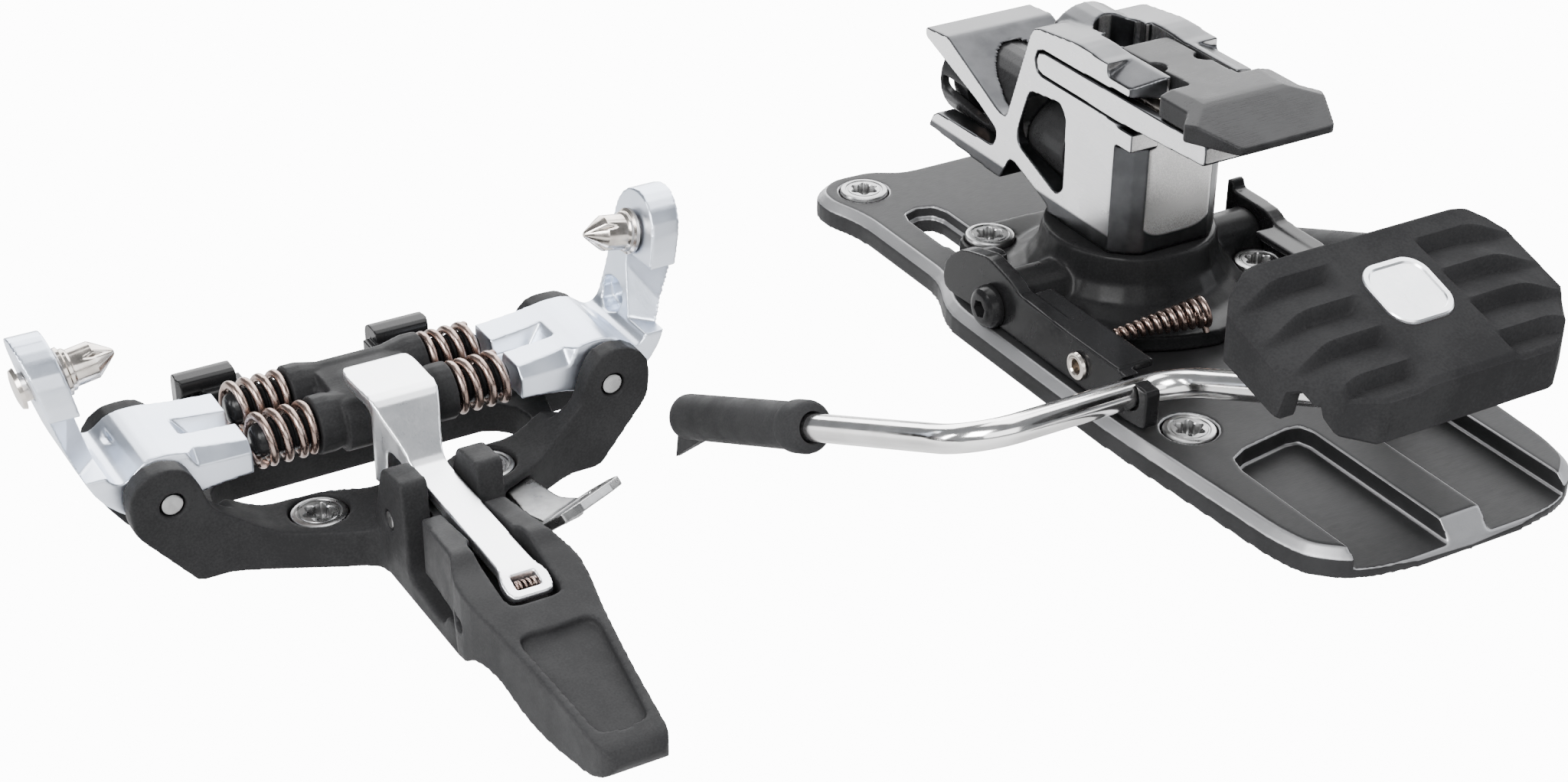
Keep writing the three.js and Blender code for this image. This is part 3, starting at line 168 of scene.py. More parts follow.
# ---------------------------------------------------------------- materials
class Recipe:
    """One node material: a Principled shader fed by noise laid out in the part's millimetres."""

    def __init__(self, name, metallic=0.0, specular=0.5):
        self.material = bpy.data.materials.new(name)
        self.material.use_nodes = True
        self.tree = self.material.node_tree
        self.shader = self.tree.nodes["Principled BSDF"]
        self.shader.inputs["Metallic"].default_value = metallic
        self.shader.inputs["Specular IOR Level"].default_value = specular
        self.coordinates = self.tree.nodes.new("ShaderNodeTexCoord")

    def link(self, output, socket):
        """Joins a node's output to a socket, or sets the socket to a number or an RGB colour."""
        if hasattr(output, "links"):
            self.tree.links.new(output, socket)
        elif hasattr(socket.default_value, "__len__") and len(output) == 3:
            socket.default_value = (*output, 1)
        else:
            socket.default_value = output

    def noise(self, size, stretch=(1, 1, 1), detail=3.0, roughness=0.55):
        """Noise whose features are about `size` mm across, drawn out along the stretched axes."""
        mapping = self.tree.nodes.new("ShaderNodeMapping")
        mapping.inputs["Scale"].default_value = [1 / (size * MM * s) for s in stretch]
        self.link(self.coordinates.outputs["Object"], mapping.inputs["Vector"])
        noise = self.tree.nodes.new("ShaderNodeTexNoise")
        noise.inputs["Scale"].default_value = 1.0
        noise.inputs["Detail"].default_value = detail
        noise.inputs["Roughness"].default_value = roughness
        self.link(mapping.outputs["Vector"], noise.inputs["Vector"])
        return noise.outputs["Fac"]

    def along(self, kind, axis):
        """One component of the surface's place in metres, or of its normal."""
        parts = self.tree.nodes.new("ShaderNodeSeparateXYZ")
        self.link(self.coordinates.outputs[kind], parts.inputs["Vector"])
        return parts.outputs[axis]

    def maths(self, operation, a, b=0.0):
        node = self.tree.nodes.new("ShaderNodeMath")
        node.operation = operation
        for socket, value in zip(node.inputs, (a, b)):
            self.link(value, socket)
        return node.outputs["Value"]

    def span(self, value, low, high, start=0.0, end=1.0):
        """`value` taken smoothly from low..high to start..end."""
        node = self.tree.nodes.new("ShaderNodeMapRange")
        node.interpolation_type = "SMOOTHSTEP"
        self.link(value, node.inputs["Value"])
        for socket, limit in (("From Min", low), ("From Max", high), ("To Min", start), ("To Max", end)):
            node.inputs[socket].default_value = limit
        return node.outputs["Result"]

    def blend(self, factor, a, b):
        node = self.tree.nodes.new("ShaderNodeMix")
        node.data_type = "RGBA"
        self.link(factor, node.inputs["Factor"])
        self.link(a, node.inputs[6])
        self.link(b, node.inputs[7])
        return node.outputs[2]

    def colour(self, value):
        self.link(value, self.shader.inputs["Base Color"])

    def rough(self, value):
        self.link(value, self.shader.inputs["Roughness"])

    def bump(self, *layers):
        """Stacks (height, depth in mm, strength) layers of relief."""
        normal = None
        for height, depth, strength in layers:
            node = self.tree.nodes.new("ShaderNodeBump")
            node.inputs["Distance"].default_value = depth * MM
            node.inputs["Strength"].default_value = strength
            self.link(height, node.inputs["Height"])
            if normal is not None:
                self.link(normal, node.inputs["Normal"])
            normal = node.outputs["Normal"]
        self.link(normal, self.shader.inputs["Normal"])


def moulded(name, dark, light, roughness, grain=0.35, relief=0.5, specular=0.4):
    """Fine-grained moulded plastic or rubber with slow changes of tone and gloss."""
    m = Recipe(name, specular=specular)
    cloud = m.noise(9, detail=4)
    speck = m.noise(grain, detail=2)
    tone = m.maths("ADD", m.maths("MULTIPLY", cloud, 0.6), m.maths("MULTIPLY", speck, 0.4))
    m.colour(m.blend(m.span(tone, 0.35, 0.65), (dark, dark, dark * 1.04), (light, light, light * 1.03)))
    m.rough(m.span(m.noise(4, detail=5), 0.3, 0.7, roughness - 0.07, roughness + 0.07))
    m.bump((speck, 0.03, relief), (m.noise(2.5, detail=3), 0.05, 0.25 * relief))
    return m.material


def gloss(name, dark, light):
    """Smooth dark plastic or blackened steel with a slight ripple in its gloss."""
    m = Recipe(name, specular=0.14)
    cloud = m.noise(7, detail=4)
    m.colour(m.blend(cloud, (dark, dark, dark * 1.05), (light, light, light * 1.05)))
    m.rough(m.span(m.noise(2.2, detail=5), 0.3, 0.7, 0.18, 0.28))
    m.bump((m.noise(2.6, detail=2), 0.02, 0.12), (m.noise(0.5, detail=1), 0.01, 0.08))
    return m.material


def brushed(name, dark, light, roughness, stretch, grain=0.16, relief=0.35, spread=0.09, metallic=1.0,
            specular=0.5):
    """Bare or anodised metal with fine lines drawn out along the stretched axis."""
    m = Recipe(name, metallic=metallic, specular=specular)
    lines = m.noise(grain, stretch, detail=3, roughness=0.6)
    cloud = m.noise(6, detail=4)
    tone = m.maths("ADD", m.maths("MULTIPLY", lines, 0.45), m.maths("MULTIPLY", cloud, 0.55))
    m.colour(m.blend(m.span(tone, 0.32, 0.68), dark, light))
    m.rough(m.span(tone, 0.3, 0.7, roughness - spread, roughness + spread))
    m.bump((lines, 0.02, relief), (m.noise(0.5, detail=2), 0.015, 0.3 * relief))
    return m.material


def forged_alloy(name):
    """Pale blue-grey satin anodising over tumbled forgings, brighter where a face was milled."""
    m = Recipe(name, metallic=1.0)
    grain = m.noise(0.22, detail=2)
    cloud = m.noise(8, detail=5)
    lines = m.noise(0.14, (1, 14, 6), detail=2)
    side = m.span(m.maths("ABSOLUTE", m.along("Normal", "Y")), 0.75, 0.95)
    base = m.blend(m.span(cloud, 0.3, 0.7), (0.58, 0.635, 0.73), (0.68, 0.73, 0.82))
    m.colour(m.blend(m.maths("MULTIPLY", side, 0.6), base, (0.80, 0.84, 0.91)))
    m.rough(m.maths("ADD", m.span(cloud, 0.3, 0.7, 0.25, 0.35), m.maths("MULTIPLY", grain, 0.10)))
    m.bump((lines, 0.015, 0.3), (grain, 0.02, 0.3), (m.noise(3, detail=2), 0.06, 0.18))
    return m.material


FLAT_FOOT = 18.6 * MM
FLAT_HALF = 8.0 * MM
FLAT_ROUNDING = 4.5 * MM
FLAT_EDGE = 0.5 * MM
SIDE_EDGE = 0.6 * MM
# heights above the front flat's foot over which its painted highlight fades from near white to darker silver
PAINTED_HIGHLIGHT_RUN = (1.0 * MM, 7.0 * MM)


def tower_alloy(name):
    """Dark blasted anodising, with bright milled side faces and a brushed, speckled front flat. Each face is
    painted bright or dark by the way it faces: partly a two-tone finish, partly painted light and shade. The front
    flat also carries a painted highlight at its foot.
    """
    m = Recipe(name, metallic=1.0)
    cloud = m.noise(7, detail=4)
    grain = m.noise(0.3, detail=2)
    lines = m.noise(0.15, (1, 10, 1), detail=3)
    sparkle = m.noise(0.13, (1, 1, 1.6), detail=2)
    height = m.along("Object", "Z")
    across = m.maths("ABSOLUTE", m.along("Object", "X"))
    # the milled flats start just above the dark base ring, the front one with a round foot
    rounding = m.maths("MULTIPLY", m.maths("POWER", m.maths("DIVIDE", across, FLAT_HALF), 4.0), FLAT_ROUNDING)
    foot = m.span(m.maths("SUBTRACT", height, rounding), FLAT_FOOT, FLAT_FOOT + FLAT_EDGE)
    front = m.maths("MULTIPLY", m.span(m.along("Normal", "Y"), -0.93, -0.99), foot)
    # painted light and shade: faces looking sideways above the base ring are painted bright and the rest dark.
    # This is partly a milled two-tone finish and partly how light falls on each face
    sideways = m.span(m.maths("ABSOLUTE", m.along("Normal", "X")), 0.93, 0.99)
    side = m.maths("MULTIPLY", sideways, m.span(height, FLAT_FOOT, FLAT_FOOT + SIDE_EDGE))
    dark = m.blend(m.span(cloud, 0.3, 0.7), (0.050, 0.051, 0.054), (0.080, 0.081, 0.085))
    milled = m.blend(lines, (0.62, 0.62, 0.63), (0.78, 0.78, 0.79))
    # painted highlight: the front flat is painted near white just above its foot and darker higher up, standing in
    # for a reflection
    glow = m.span(height, *(FLAT_FOOT + run for run in PAINTED_HIGHLIGHT_RUN))
    silver_with_painted_highlight = m.blend(glow, (0.86, 0.86, 0.85), (0.50, 0.495, 0.49))
    speckled = m.blend(m.span(sparkle, 0.42, 0.62), silver_with_painted_highlight, (0.64, 0.63, 0.62))
    m.colour(m.blend(front, m.blend(side, dark, milled), speckled))
    calm = m.span(cloud, 0.3, 0.7, 0.28, 0.36)
    m.rough(m.maths("SUBTRACT", calm, m.maths("MULTIPLY", side, 0.05)))
    m.bump((grain, 0.02, 0.25), (lines, 0.01, 0.2))
    return m.material


def plate_alloy(name):
    """Dark grey anodised sheet whose milled chamfers are painted pale and metallic, partly as bare milled metal
    and partly as a painted highlight.
    """
    m = Recipe(name, metallic=0.3, specular=0.04)
    cloud = m.noise(12, detail=4)
    grain = m.noise(0.28, detail=2)
    lines = m.noise(0.2, (10, 1, 1), detail=3)
    facing = m.along("Normal", "Z")
    # painted highlight: faces sloping between flat and upright are painted pale and more metallic, partly bare
    # milled metal on the chamfers and partly a highlight
    chamfer_and_painted_highlight = m.maths("MULTIPLY", m.span(facing, 0.35, 0.55), m.span(facing, 0.97, 0.88))
    flat = m.blend(m.span(cloud, 0.3, 0.7), (0.018, 0.018, 0.0185), (0.029, 0.029, 0.030))
    m.colour(m.blend(m.maths("MULTIPLY", chamfer_and_painted_highlight, 0.8), flat, (0.40, 0.40, 0.41)))
    m.link(m.span(chamfer_and_painted_highlight, 0.1, 0.9, 0.3, 0.9), m.shader.inputs["Metallic"])
    mottle = m.maths("ADD", m.maths("MULTIPLY", cloud, 0.5), m.maths("MULTIPLY", lines, 0.5))
    m.rough(m.span(mottle, 0.3, 0.7, 0.36, 0.50))
    m.bump((grain, 0.02, 0.35), (lines, 0.01, 0.2))
    return m.material


def polished(name, dark, light, roughness, size=2.0):
    """Bare turned or drawn metal whose tone and gloss drift over about `size` mm."""
    m = Recipe(name, metallic=1.0)
    cloud = m.noise(size, detail=4)
    m.colour(m.blend(m.span(cloud, 0.3, 0.7), dark, light))
    m.rough(m.span(m.noise(0.8 * size, detail=5), 0.3, 0.7, roughness - 0.04, roughness + 0.05))
    m.bump((m.noise(0.6, detail=2), 0.01, 0.06))
    return m.material


PAINTS = {
    "black_plastic": moulded("moulded_charcoal", 0.015, 0.023, 0.50, specular=0.05),
    "carriage_black": moulded("moulded_satin_black", 0.007, 0.012, 0.34, relief=0.15, specular=0.08),
    "lever_grey": moulded("moulded_lever_grey", 0.018, 0.025, 0.46, grain=0.3, relief=0.35, specular=0.06),
    "black_rubbery_plastic": moulded("moulded_soft_black", 0.017, 0.024, 0.58, grain=0.4, relief=0.35,
                                     specular=0.01),
    "sleeve_rubber": moulded("moulded_sleeve_rubber", 0.023, 0.031, 0.52, relief=0.12, specular=0.04),
    "gloss_black": gloss("gloss_black", 0.006, 0.011),
    "wing_alloy": forged_alloy("forged_wing_alloy"),
    "bright_alloy": brushed("bright_brushed_alloy", (0.88, 0.90, 0.93), (0.96, 0.97, 0.99), 0.30, (1, 16, 1),
                            grain=0.3, relief=0.05, spread=0.03),
    "tower_alloy": tower_alloy("tower_alloy"),
    "dark_alloy": plate_alloy("dark_anodised_alloy"),
    "riser_alloy": brushed("dark_riser_alloy", (0.018, 0.018, 0.0185), (0.030, 0.030, 0.031), 0.32,
                           (14, 1, 1), metallic=0.35, specular=0.04),
    "screw_steel": polished("screw_steel", (0.27, 0.27, 0.27), (0.36, 0.36, 0.36), 0.30),
    "pin_steel": polished("warm_pin_steel", (0.50, 0.46, 0.42), (0.68, 0.63, 0.58), 0.20),
    "spring_steel": polished("coppery_spring_steel", (0.24, 0.170, 0.145), (0.38, 0.295, 0.260), 0.26, 3.0),
    "chrome_wire": polished("chrome_wire", (0.82, 0.81, 0.80), (0.92, 0.91, 0.90), 0.15, 5.0),
}


# ---------------------------------------------------------------- mesh tools
def object_from(name, bm):
    """Makes a bmesh a named object, with doubled points merged and its faces turned outward."""
    bmesh.ops.remove_doubles(bm, verts=bm.verts, dist=1e-7)
    bmesh.ops.recalc_face_normals(bm, faces=bm.faces)
    mesh = bpy.data.meshes.new(name)
    bm.to_mesh(mesh)
    bm.free()
    obj = bpy.data.objects.new(name, mesh)
    bpy.context.scene.collection.objects.link(obj)
    return obj


def shade(obj, angle=35):
    """Smooth shading that keeps corners sharper than `angle` degrees."""
    for polygon in obj.data.polygons:
        polygon.use_smooth = True
    obj.data.set_sharp_from_angle(angle=math.radians(angle))
    return obj


def turned(name, rings, base, axis, segments=ROUND, angle=35):
    """Body of (radius, station) rings in mm along `axis` from `base`, starting and ending on it.

    A radius may be a function of the angle round the axis."""
    axis = Vector(axis).normalized()
    side = axis.orthogonal().normalized() if abs(axis.z) < 0.9 else Vector((1, 0, 0))
    side = (side - axis * side.dot(axis)).normalized()
    other = axis.cross(side)
    bm = bmesh.new()
    loops = []
    for radius, station in rings:
        centre = Vector(base) + axis * station * MM
        if radius == 0:
            loops.append([bm.verts.new(centre)])
            continue
        loop = []
        for i in range(segments):
            turn = 2 * math.pi * i / segments
            reach = (radius(turn) if callable(radius) else radius) * MM
            across = side * reach * math.cos(turn) + other * reach * math.sin(turn)
            loop.append(bm.verts.new(centre + across))
        loops.append(loop)
    for a, b in zip(loops, loops[1:]):
        for i in range(segments):
            j = (i + 1) % segments
            corners = [a[i % len(a)], a[j % len(a)], b[j % len(b)], b[i % len(b)]]
            unique = list(dict.fromkeys(corners))
            if len(unique) > 2:
                bm.faces.new(unique)
    return shade(object_from(name, bm), angle)


WIRE_DOME = 0.25


def sweep(name, points, radius, sides=20):
    """Round wire along a close-set row of points, with slightly domed ends."""
    bm = bmesh.new()
    last = len(points) - 1
    tangents = [(points[min(i + 1, last)] - points[max(i - 1, 0)]).normalized() for i in range(last + 1)]
    side = tangents[0].orthogonal().normalized()
    loops = []
    for point, tangent in zip(points, tangents):
        side = (side - tangent * side.dot(tangent)).normalized()
        other = tangent.cross(side)
        loops.append([bm.verts.new(point + radius * (side * math.cos(t) + other * math.sin(t)))
                      for t in (2 * math.pi * i / sides for i in range(sides))])
    for a, b in zip(loops, loops[1:]):
        for i in range(sides):
            bm.faces.new((a[i], a[(i + 1) % sides], b[(i + 1) % sides], b[i]))
    for loop, point, tangent in ((loops[0], points[0], -tangents[0]), (loops[-1], points[-1], tangents[-1])):
        tip = bm.verts.new(point + tangent * radius * WIRE_DOME)
        for i in range(sides):
            bm.faces.new((loop[i], loop[(i + 1) % sides], tip))
    return shade(object_from(name, bm), 60)


def helix(start, axis, length, turns, radius_at, dead=0.6, steps=36):
    """Points of a coil whose first and last `dead` turns lie flat."""
    axis = Vector(axis).normalized()
    side = axis.orthogonal().normalized()
    other = axis.cross(side)
    total = turns + 2 * dead
    points = []
    for i in range(int(total * steps) + 1):
        turn = i / steps
        share = min(max((turn - dead) / turns, 0.0), 1.0)
        radius = radius_at(share)
        angle = 2 * math.pi * turn
        points.append(Vector(start) + axis * length * share
                      + side * radius * math.cos(angle) + other * radius * math.sin(angle))
    return points


ARC_STEPS = 14


def rounded_path(corners, radii):
    """Points along straight runs joined by true arcs of the given radii."""
    path = [corners[0]]
    for before, corner, after, radius in zip(corners, corners[1:], corners[2:], radii):
        back = (before - corner).normalized()
        ahead = (after - corner).normalized()
        half = back.angle(ahead) / 2
        cut = radius / math.tan(half)
        centre = corner + (back + ahead).normalized() * radius / math.sin(half)
        first = corner + back * cut - centre
        bend_angle = math.pi - 2 * half
        normal = back.cross(ahead).normalized()
        path += [centre + Matrix.Rotation(-bend_angle * i / ARC_STEPS, 3, normal) @ first
                 for i in range(ARC_STEPS + 1)]
    path.append(corners[-1])
    return path


def fine_path(path, step):
    """The same path with a point about every `step`."""
    points = []
    for a, b in zip(path, path[1:]):
        count = max(1, round((b - a).length / step))
        points += [a.lerp(b, i / count) for i in range(count)]
    return points + [path[-1]]


def stand_in(obj, node, slot, paint=None):
    """`obj` is shown instead of the CAD node, on its body and in its finish."""
    obj.data.materials.append(PAINTS[paint or slot])
    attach(obj, BODY_OF[node])
    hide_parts(node)


def span_of(node):
    """Low corner, high corner and middle of a CAD node's box."""
    low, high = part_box(node)
    return low, high, (low + high) / 2


# ---------------------------------------------------------------- screws, axles and rivets
LOBES = 6
SHANK_RADIUS = 2.3
HEAD_HEIGHT = 1.3
AXLE_DOME = 0.25


def lobed(mean, swing):
    """Radius of a round hole with six lobes."""
    return lambda turn: mean + swing * math.cos(LOBES * turn)


def hexagonal(size):
    """Radius of a six-sided hole `size` mm from its middle to each corner."""
    return lambda turn: size / math.cos((turn % (math.pi / 3)) - math.pi / 6) * math.cos(math.pi / 6)


def ski_screw(node):
    """Flat-headed screw with a raised rim ring and a six-lobe recess."""
    low, high, middle = span_of(node)
    head = (high.x - low.x) / 2 / MM
    top = (high.z - low.z) / MM
    under = top - HEAD_HEIGHT
    rings = [(0, 0), (SHANK_RADIUS, 0), (SHANK_RADIUS, under), (head - 0.2, under),
             (head, under + 0.2), (head, top - 0.35), (head - 0.12, top - 0.12),
             (head - 0.35, top), (head - 0.8, top), (head - 0.95, top - 0.14), (head - 1.2, top - 0.14),
             (head - 1.3, top - 0.05), (lobed(2.15, 0.30), top - 0.05), (lobed(2.0, 0.32), top - 0.25),
             (lobed(1.85, 0.32), top - 1.9), (0, top - 2.0)]
    piece = turned(f"screw_{node}", rings, (middle.x, middle.y, low.z), (0, 0, 1), segments=72, angle=28)
    stand_in(piece, node, "screw_steel")


def cross_axle(node, axis):
    """Plain axle with slightly domed ends; `axis` is +X or +Y."""
    low, high, middle = span_of(node)
    along = axis.index(1)
    across = (along + 1) % 3
    radius = (high - low)[across] / 2 / MM
    length = (high - low)[along] / MM
    base = middle.copy()
    base[along] = low[along]
    rings = [(0, 0), (radius - 0.35, 0), (radius - 0.08, 0.1), (radius, AXLE_DOME),
             (radius, length - AXLE_DOME), (radius - 0.08, length - 0.1), (radius - 0.35, length),
             (0, length)]
    stand_in(turned(f"pin_{node}", rings, base, axis, segments=48), node, "screw_steel")


# ---------------------------------------------------------------- springs
# radii, lengths and pitches in mm
TOE_WIRE = 0.62
TOE_COIL = 3.35
TOE_TURNS = 3.3
ROD_RADIUS = 2.6
ROD_COLLAR = 0.4
ROD_PLAIN_END = 1.4
THREAD_CREST = 2.64
THREAD_ROOT = 2.4
THREAD_PITCH = 0.55


def inner_end(node, s):
    """Middle of the end face that looks towards the unit's centre line."""
    low, high, middle = span_of(node)
    return Vector((low.x if s > 0 else high.x, middle.y, middle.z)), high.x - low.x


def toe_spring(row, side, s):
    node = f"toe_spring_{row}_{side}"
    end, length = inner_end(node, s)
    start = end + Vector((s * TOE_WIRE * MM, 0, 0))
    run = length - 2 * TOE_WIRE * MM
    points = helix(start, (s, 0, 0), run, TOE_TURNS, lambda share: TOE_COIL * MM, dead=0.35)
    stand_in(sweep(f"coil_{row}_{side}", points, TOE_WIRE * MM), node, "spring_steel")


def guide_rod(row, side, s):
    """Threaded rod through a toe spring, with a plain collar and a tapered end."""
    node = f"spring_rod_{row}_{side}"
    base, length = inner_end(node, s)
    span = length / MM
    rings = [(0, 0), (ROD_RADIUS, 0), (ROD_RADIUS, ROD_COLLAR)]
    for i in range(int((span - ROD_PLAIN_END) / THREAD_PITCH)):
        rings += [(THREAD_CREST, ROD_COLLAR + THREAD_PITCH * (i + 0.2)),
                  (THREAD_ROOT, ROD_COLLAR + THREAD_PITCH * (i + 0.7))]
    rings += [(THREAD_ROOT, span - 0.8), (1.9, span - 0.2), (1.5, span), (0, span)]
    rod = turned(f"rod_{row}_{side}", rings, base, (s, 0, 0), segments=40, angle=80)
    stand_in(rod, node, "screw_steel", "gloss_black")


LINK_WIRE = 0.2
LINK_COIL = 0.6
LINK_TURNS = 4


def link_spring():
    low, high, middle = span_of("link_spring")
    start = Vector((low.x + LINK_WIRE * MM, middle.y, middle.z))
    run = high.x - low.x - 2 * LINK_WIRE * MM
    points = helix(start, (1, 0, 0), run, LINK_TURNS, lambda share: LINK_COIL * MM, steps=24)
    stand_in(sweep("link_coil", points, LINK_WIRE * MM, sides=10), "link_spring", "spring_steel")


RELEASE_WIRE = 0.9
RELEASE_COIL = 4.5
RELEASE_TURNS = 5.5


def release_spring():
    """Spring inside the tower's tube, on the tube's middle line."""
    low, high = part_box("release_spring")
    start = Vector((0, low.y + RELEASE_WIRE * MM, span_of("spring_tube")[2].z))
    run = high.y - low.y - 2 * RELEASE_WIRE * MM
    points = helix(start, (0, 1, 0), run, RELEASE_TURNS, lambda share: RELEASE_COIL * MM)
    stand_in(sweep("release_coil", points, RELEASE_WIRE * MM), "release_spring", "spring_steel")


BRAKE_COIL_START = Vector((-17, -20.5, 9.6)) * MM
BRAKE_COIL_AXIS = Vector((14, -4, 2.4))
BRAKE_COIL_RUN = 14.0
BRAKE_COIL_TURNS = 11
BRAKE_COIL_RADII = (0.5, 2.1)
BRAKE_COIL_WIRE = 0.5
BRAKE_TAIL_STEP = Vector((0.2, -0.4, -1.0)) * MM
BRAKE_TAIL_STEPS = 3


def brake_spring():
    """Conical coil across the carriage, with a short tail bent down at its wide end."""
    narrow, wide = BRAKE_COIL_RADII
    points = helix(BRAKE_COIL_START, BRAKE_COIL_AXIS, BRAKE_COIL_RUN * MM, BRAKE_COIL_TURNS,
                   lambda share: (narrow + (wide - narrow) * share) * MM, dead=0.4)
    end = points[-1]
    points += [end + BRAKE_TAIL_STEP * (k + 1) for k in range(BRAKE_TAIL_STEPS)]
    stand_in(sweep("brake_coil", points, BRAKE_COIL_WIRE * MM, sides=14), "brake_spring", "spring_steel")


# ---------------------------------------------------------------- pins
# a toe pin leans outward by PIN_TILT radians; the rest is in mm
PIN_TILT = 0.157
PIN_LENGTH = 7.0
PIN_RADIUS = 2.6
COLLAR_RADIUS = 3.4
COLLAR_HALF = 0.3
HEAD_EDGE = 0.9


def notched(radius, depth, count=4, width=0.22):
    """Radius of a round section with `count` V-shaped notches."""
    def reach(turn):
        off = abs((turn * count / (2 * math.pi)) % 1 - 0.5) * 2
        return radius - depth * max(0.0, 1 - (1 - off) / width)
    return reach


def toe_pin(side, s):
    """Notched cone with a collar where it enters the wing and a pressed head on the outside."""
    node = f"toe_pin_{side}"
    low, high, middle = span_of(node)
    outward = Vector((s * math.cos(PIN_TILT), 0, -math.sin(PIN_TILT)))
    length = ((high.x - low.x) / MM - HEAD_EDGE * math.sin(PIN_TILT)) / math.cos(PIN_TILT)
    collar_up = COLLAR_RADIUS * MM * math.cos(PIN_TILT)
    tip_up = (PIN_LENGTH + COLLAR_HALF) * MM * math.sin(PIN_TILT)
    tip = Vector((high.x if s < 0 else low.x, middle.y, high.z - collar_up + tip_up))
    rings = [(0, 0.05), (0.35, 0.1), (0.6, 0.35), (notched(1.7, 0.15), 1.75), (notched(2.45, 0.45), 2.75),
             (notched(PIN_RADIUS, 0.5), 3.0), (notched(PIN_RADIUS, 0.3), 4.0), (PIN_RADIUS, 4.6),
             (PIN_RADIUS, 6.0), (2.85, 6.2), (2.95, 6.35), (2.95, 6.75), (3.2, 6.9), (3.38, PIN_LENGTH),
             (3.38, 7.45), (3.2, PIN_LENGTH + 0.6), (2.0, PIN_LENGTH + 0.6), (2.0, length - 0.75),
             (2.9, length - 0.75), (2.7, length - 0.2), (2.0, length - 0.02), (0, length)]
    stand_in(turned(f"nib_{side}", rings, tip, outward, segments=96, angle=30), node, "pin_steel")


def heel_pin(side):
    node = f"heel_pin_{side}"
    low, high, middle = span_of(node)
    length = (high.y - low.y) / MM
    base = Vector((middle.x, low.y, middle.z))
    rings = [(0, 0), (0.9, 0), (1.25, 0.12), (1.9, 1.1), (2.0, 1.4), (2.0, length), (0, length)]
    stand_in(turned(f"prong_{side}", rings, base, (0, 1, 0)), node, "pin_steel")


# ---------------------------------------------------------------- brake
WIRE_RADIUS = 2.2 * MM
WIRE_BENDS = (3.6 * MM, 7.5 * MM, 9.0 * MM)
PAD_HINGE = Vector((14.5, -66.0, 21.6)) * MM
PAD_INNER = 7.6 * MM
BRACKET_X = 18.0 * MM
CORNER_X = 53.0 * MM
ARM_END = Vector((62.0, 35.4, -20.0)) * MM
WIRE_SHORT = 4.8 * MM
BRAKE_AXIS = Vector(next(joint["pos_m"] for joint in frame["joints"] if joint["name"] == "brake_press"))


def brake_wire(side, s):
    """Wire from the pad's hinge past the bracket and out to the corner, then back along the ski."""
    mirror = Vector((s, 1, 1))
    corner = Vector((CORNER_X, BRAKE_AXIS.y, BRAKE_AXIS.z))
    end = ARM_END + (corner - ARM_END).normalized() * WIRE_SHORT
    corners = [Vector((PAD_INNER, PAD_HINGE.y, PAD_HINGE.z)), PAD_HINGE,
               Vector((BRACKET_X, BRAKE_AXIS.y, BRAKE_AXIS.z)), corner, end]
    path = rounded_path([point * mirror for point in corners], WIRE_BENDS)
    wire = sweep(f"wire_{side}", fine_path(path, 1.0 * MM), WIRE_RADIUS, sides=28)
    stand_in(wire, f"brake_arm_{side}", "chrome_wire")


# SLEEVE_SPAN is counted in mm from ARM_END towards the wire's corner, and each root of the fin is
# (distance from the sleeve's closed end, drop below the arm's middle line) in mm
SLEEVE_RADIUS = 3.75
SLEEVE_COLLAR = 4.2
SLEEVE_SPAN = (2.6, 38.5)
FIN_ROOTS = ((9.0, 2.6), (0.6, 2.2))
FIN_POINT = Vector((0, 2.8, -9.0)) * MM
FIN_HALF_WIDTHS = (1.5, 1.9, 0.45)


def add_fin(sleeve, ridge):
    """Adds a wedge between two copies of the triangle `ridge`, set apart along X."""
    bm = bmesh.new()
    bm.from_mesh(sleeve.data)
    near, far = [[bm.verts.new(point + Vector((sign * width * MM, 0, 0)))
                  for point, width in zip(ridge, FIN_HALF_WIDTHS)] for sign in (1, -1)]
    bm.faces.new(near)
    bm.faces.new(far[::-1])
    for i in range(3):
        j = (i + 1) % 3
        bm.faces.new((near[j], near[i], far[i], far[j]))
    bmesh.ops.recalc_face_normals(bm, faces=bm.faces)
    bm.to_mesh(sleeve.data)
    bm.free()


def brake_sleeve(side, s):
    """Soft sleeve pushed over the end of a brake arm, with a fin that digs into the snow."""
    mirror = Vector((s, 1, 1))
    tip = ARM_END * mirror
    corner = Vector((CORNER_X, BRAKE_AXIS.y, BRAKE_AXIS.z)) * mirror
    along = (corner - tip).normalized()
    start = tip + along * SLEEVE_SPAN[0] * MM
    length = SLEEVE_SPAN[1] - SLEEVE_SPAN[0]
    wire = WIRE_RADIUS / MM
    rings = [(0, 0.0), (2.6, 0.0), (3.3, 0.15), (3.65, 0.6), (SLEEVE_RADIUS, 1.3),
             (SLEEVE_RADIUS, length - 5.6), (3.82, length - 5.2), (4.12, length - 4.6),
             (SLEEVE_COLLAR, length - 3.8), (SLEEVE_COLLAR, length - 1.6), (4.02, length - 0.8),
             (3.5, length - 0.3), (wire + 0.35, length), (wire + 0.2, length - 0.5),
             (wire + 0.1, length - 3.0), (0, length - 3.0)]
    sleeve = turned(f"sleeve_{side}", rings, start, along, segments=72, angle=50)
    ridge = [start + along * station * MM - Vector((0, 0, drop * MM)) for station, drop in FIN_ROOTS]
    add_fin(sleeve, [*ridge, start + FIN_POINT])
    shade(sleeve, 40)
    stand_in(sleeve, f"brake_tip_{side}", "black_rubbery_plastic", "sleeve_rubber")


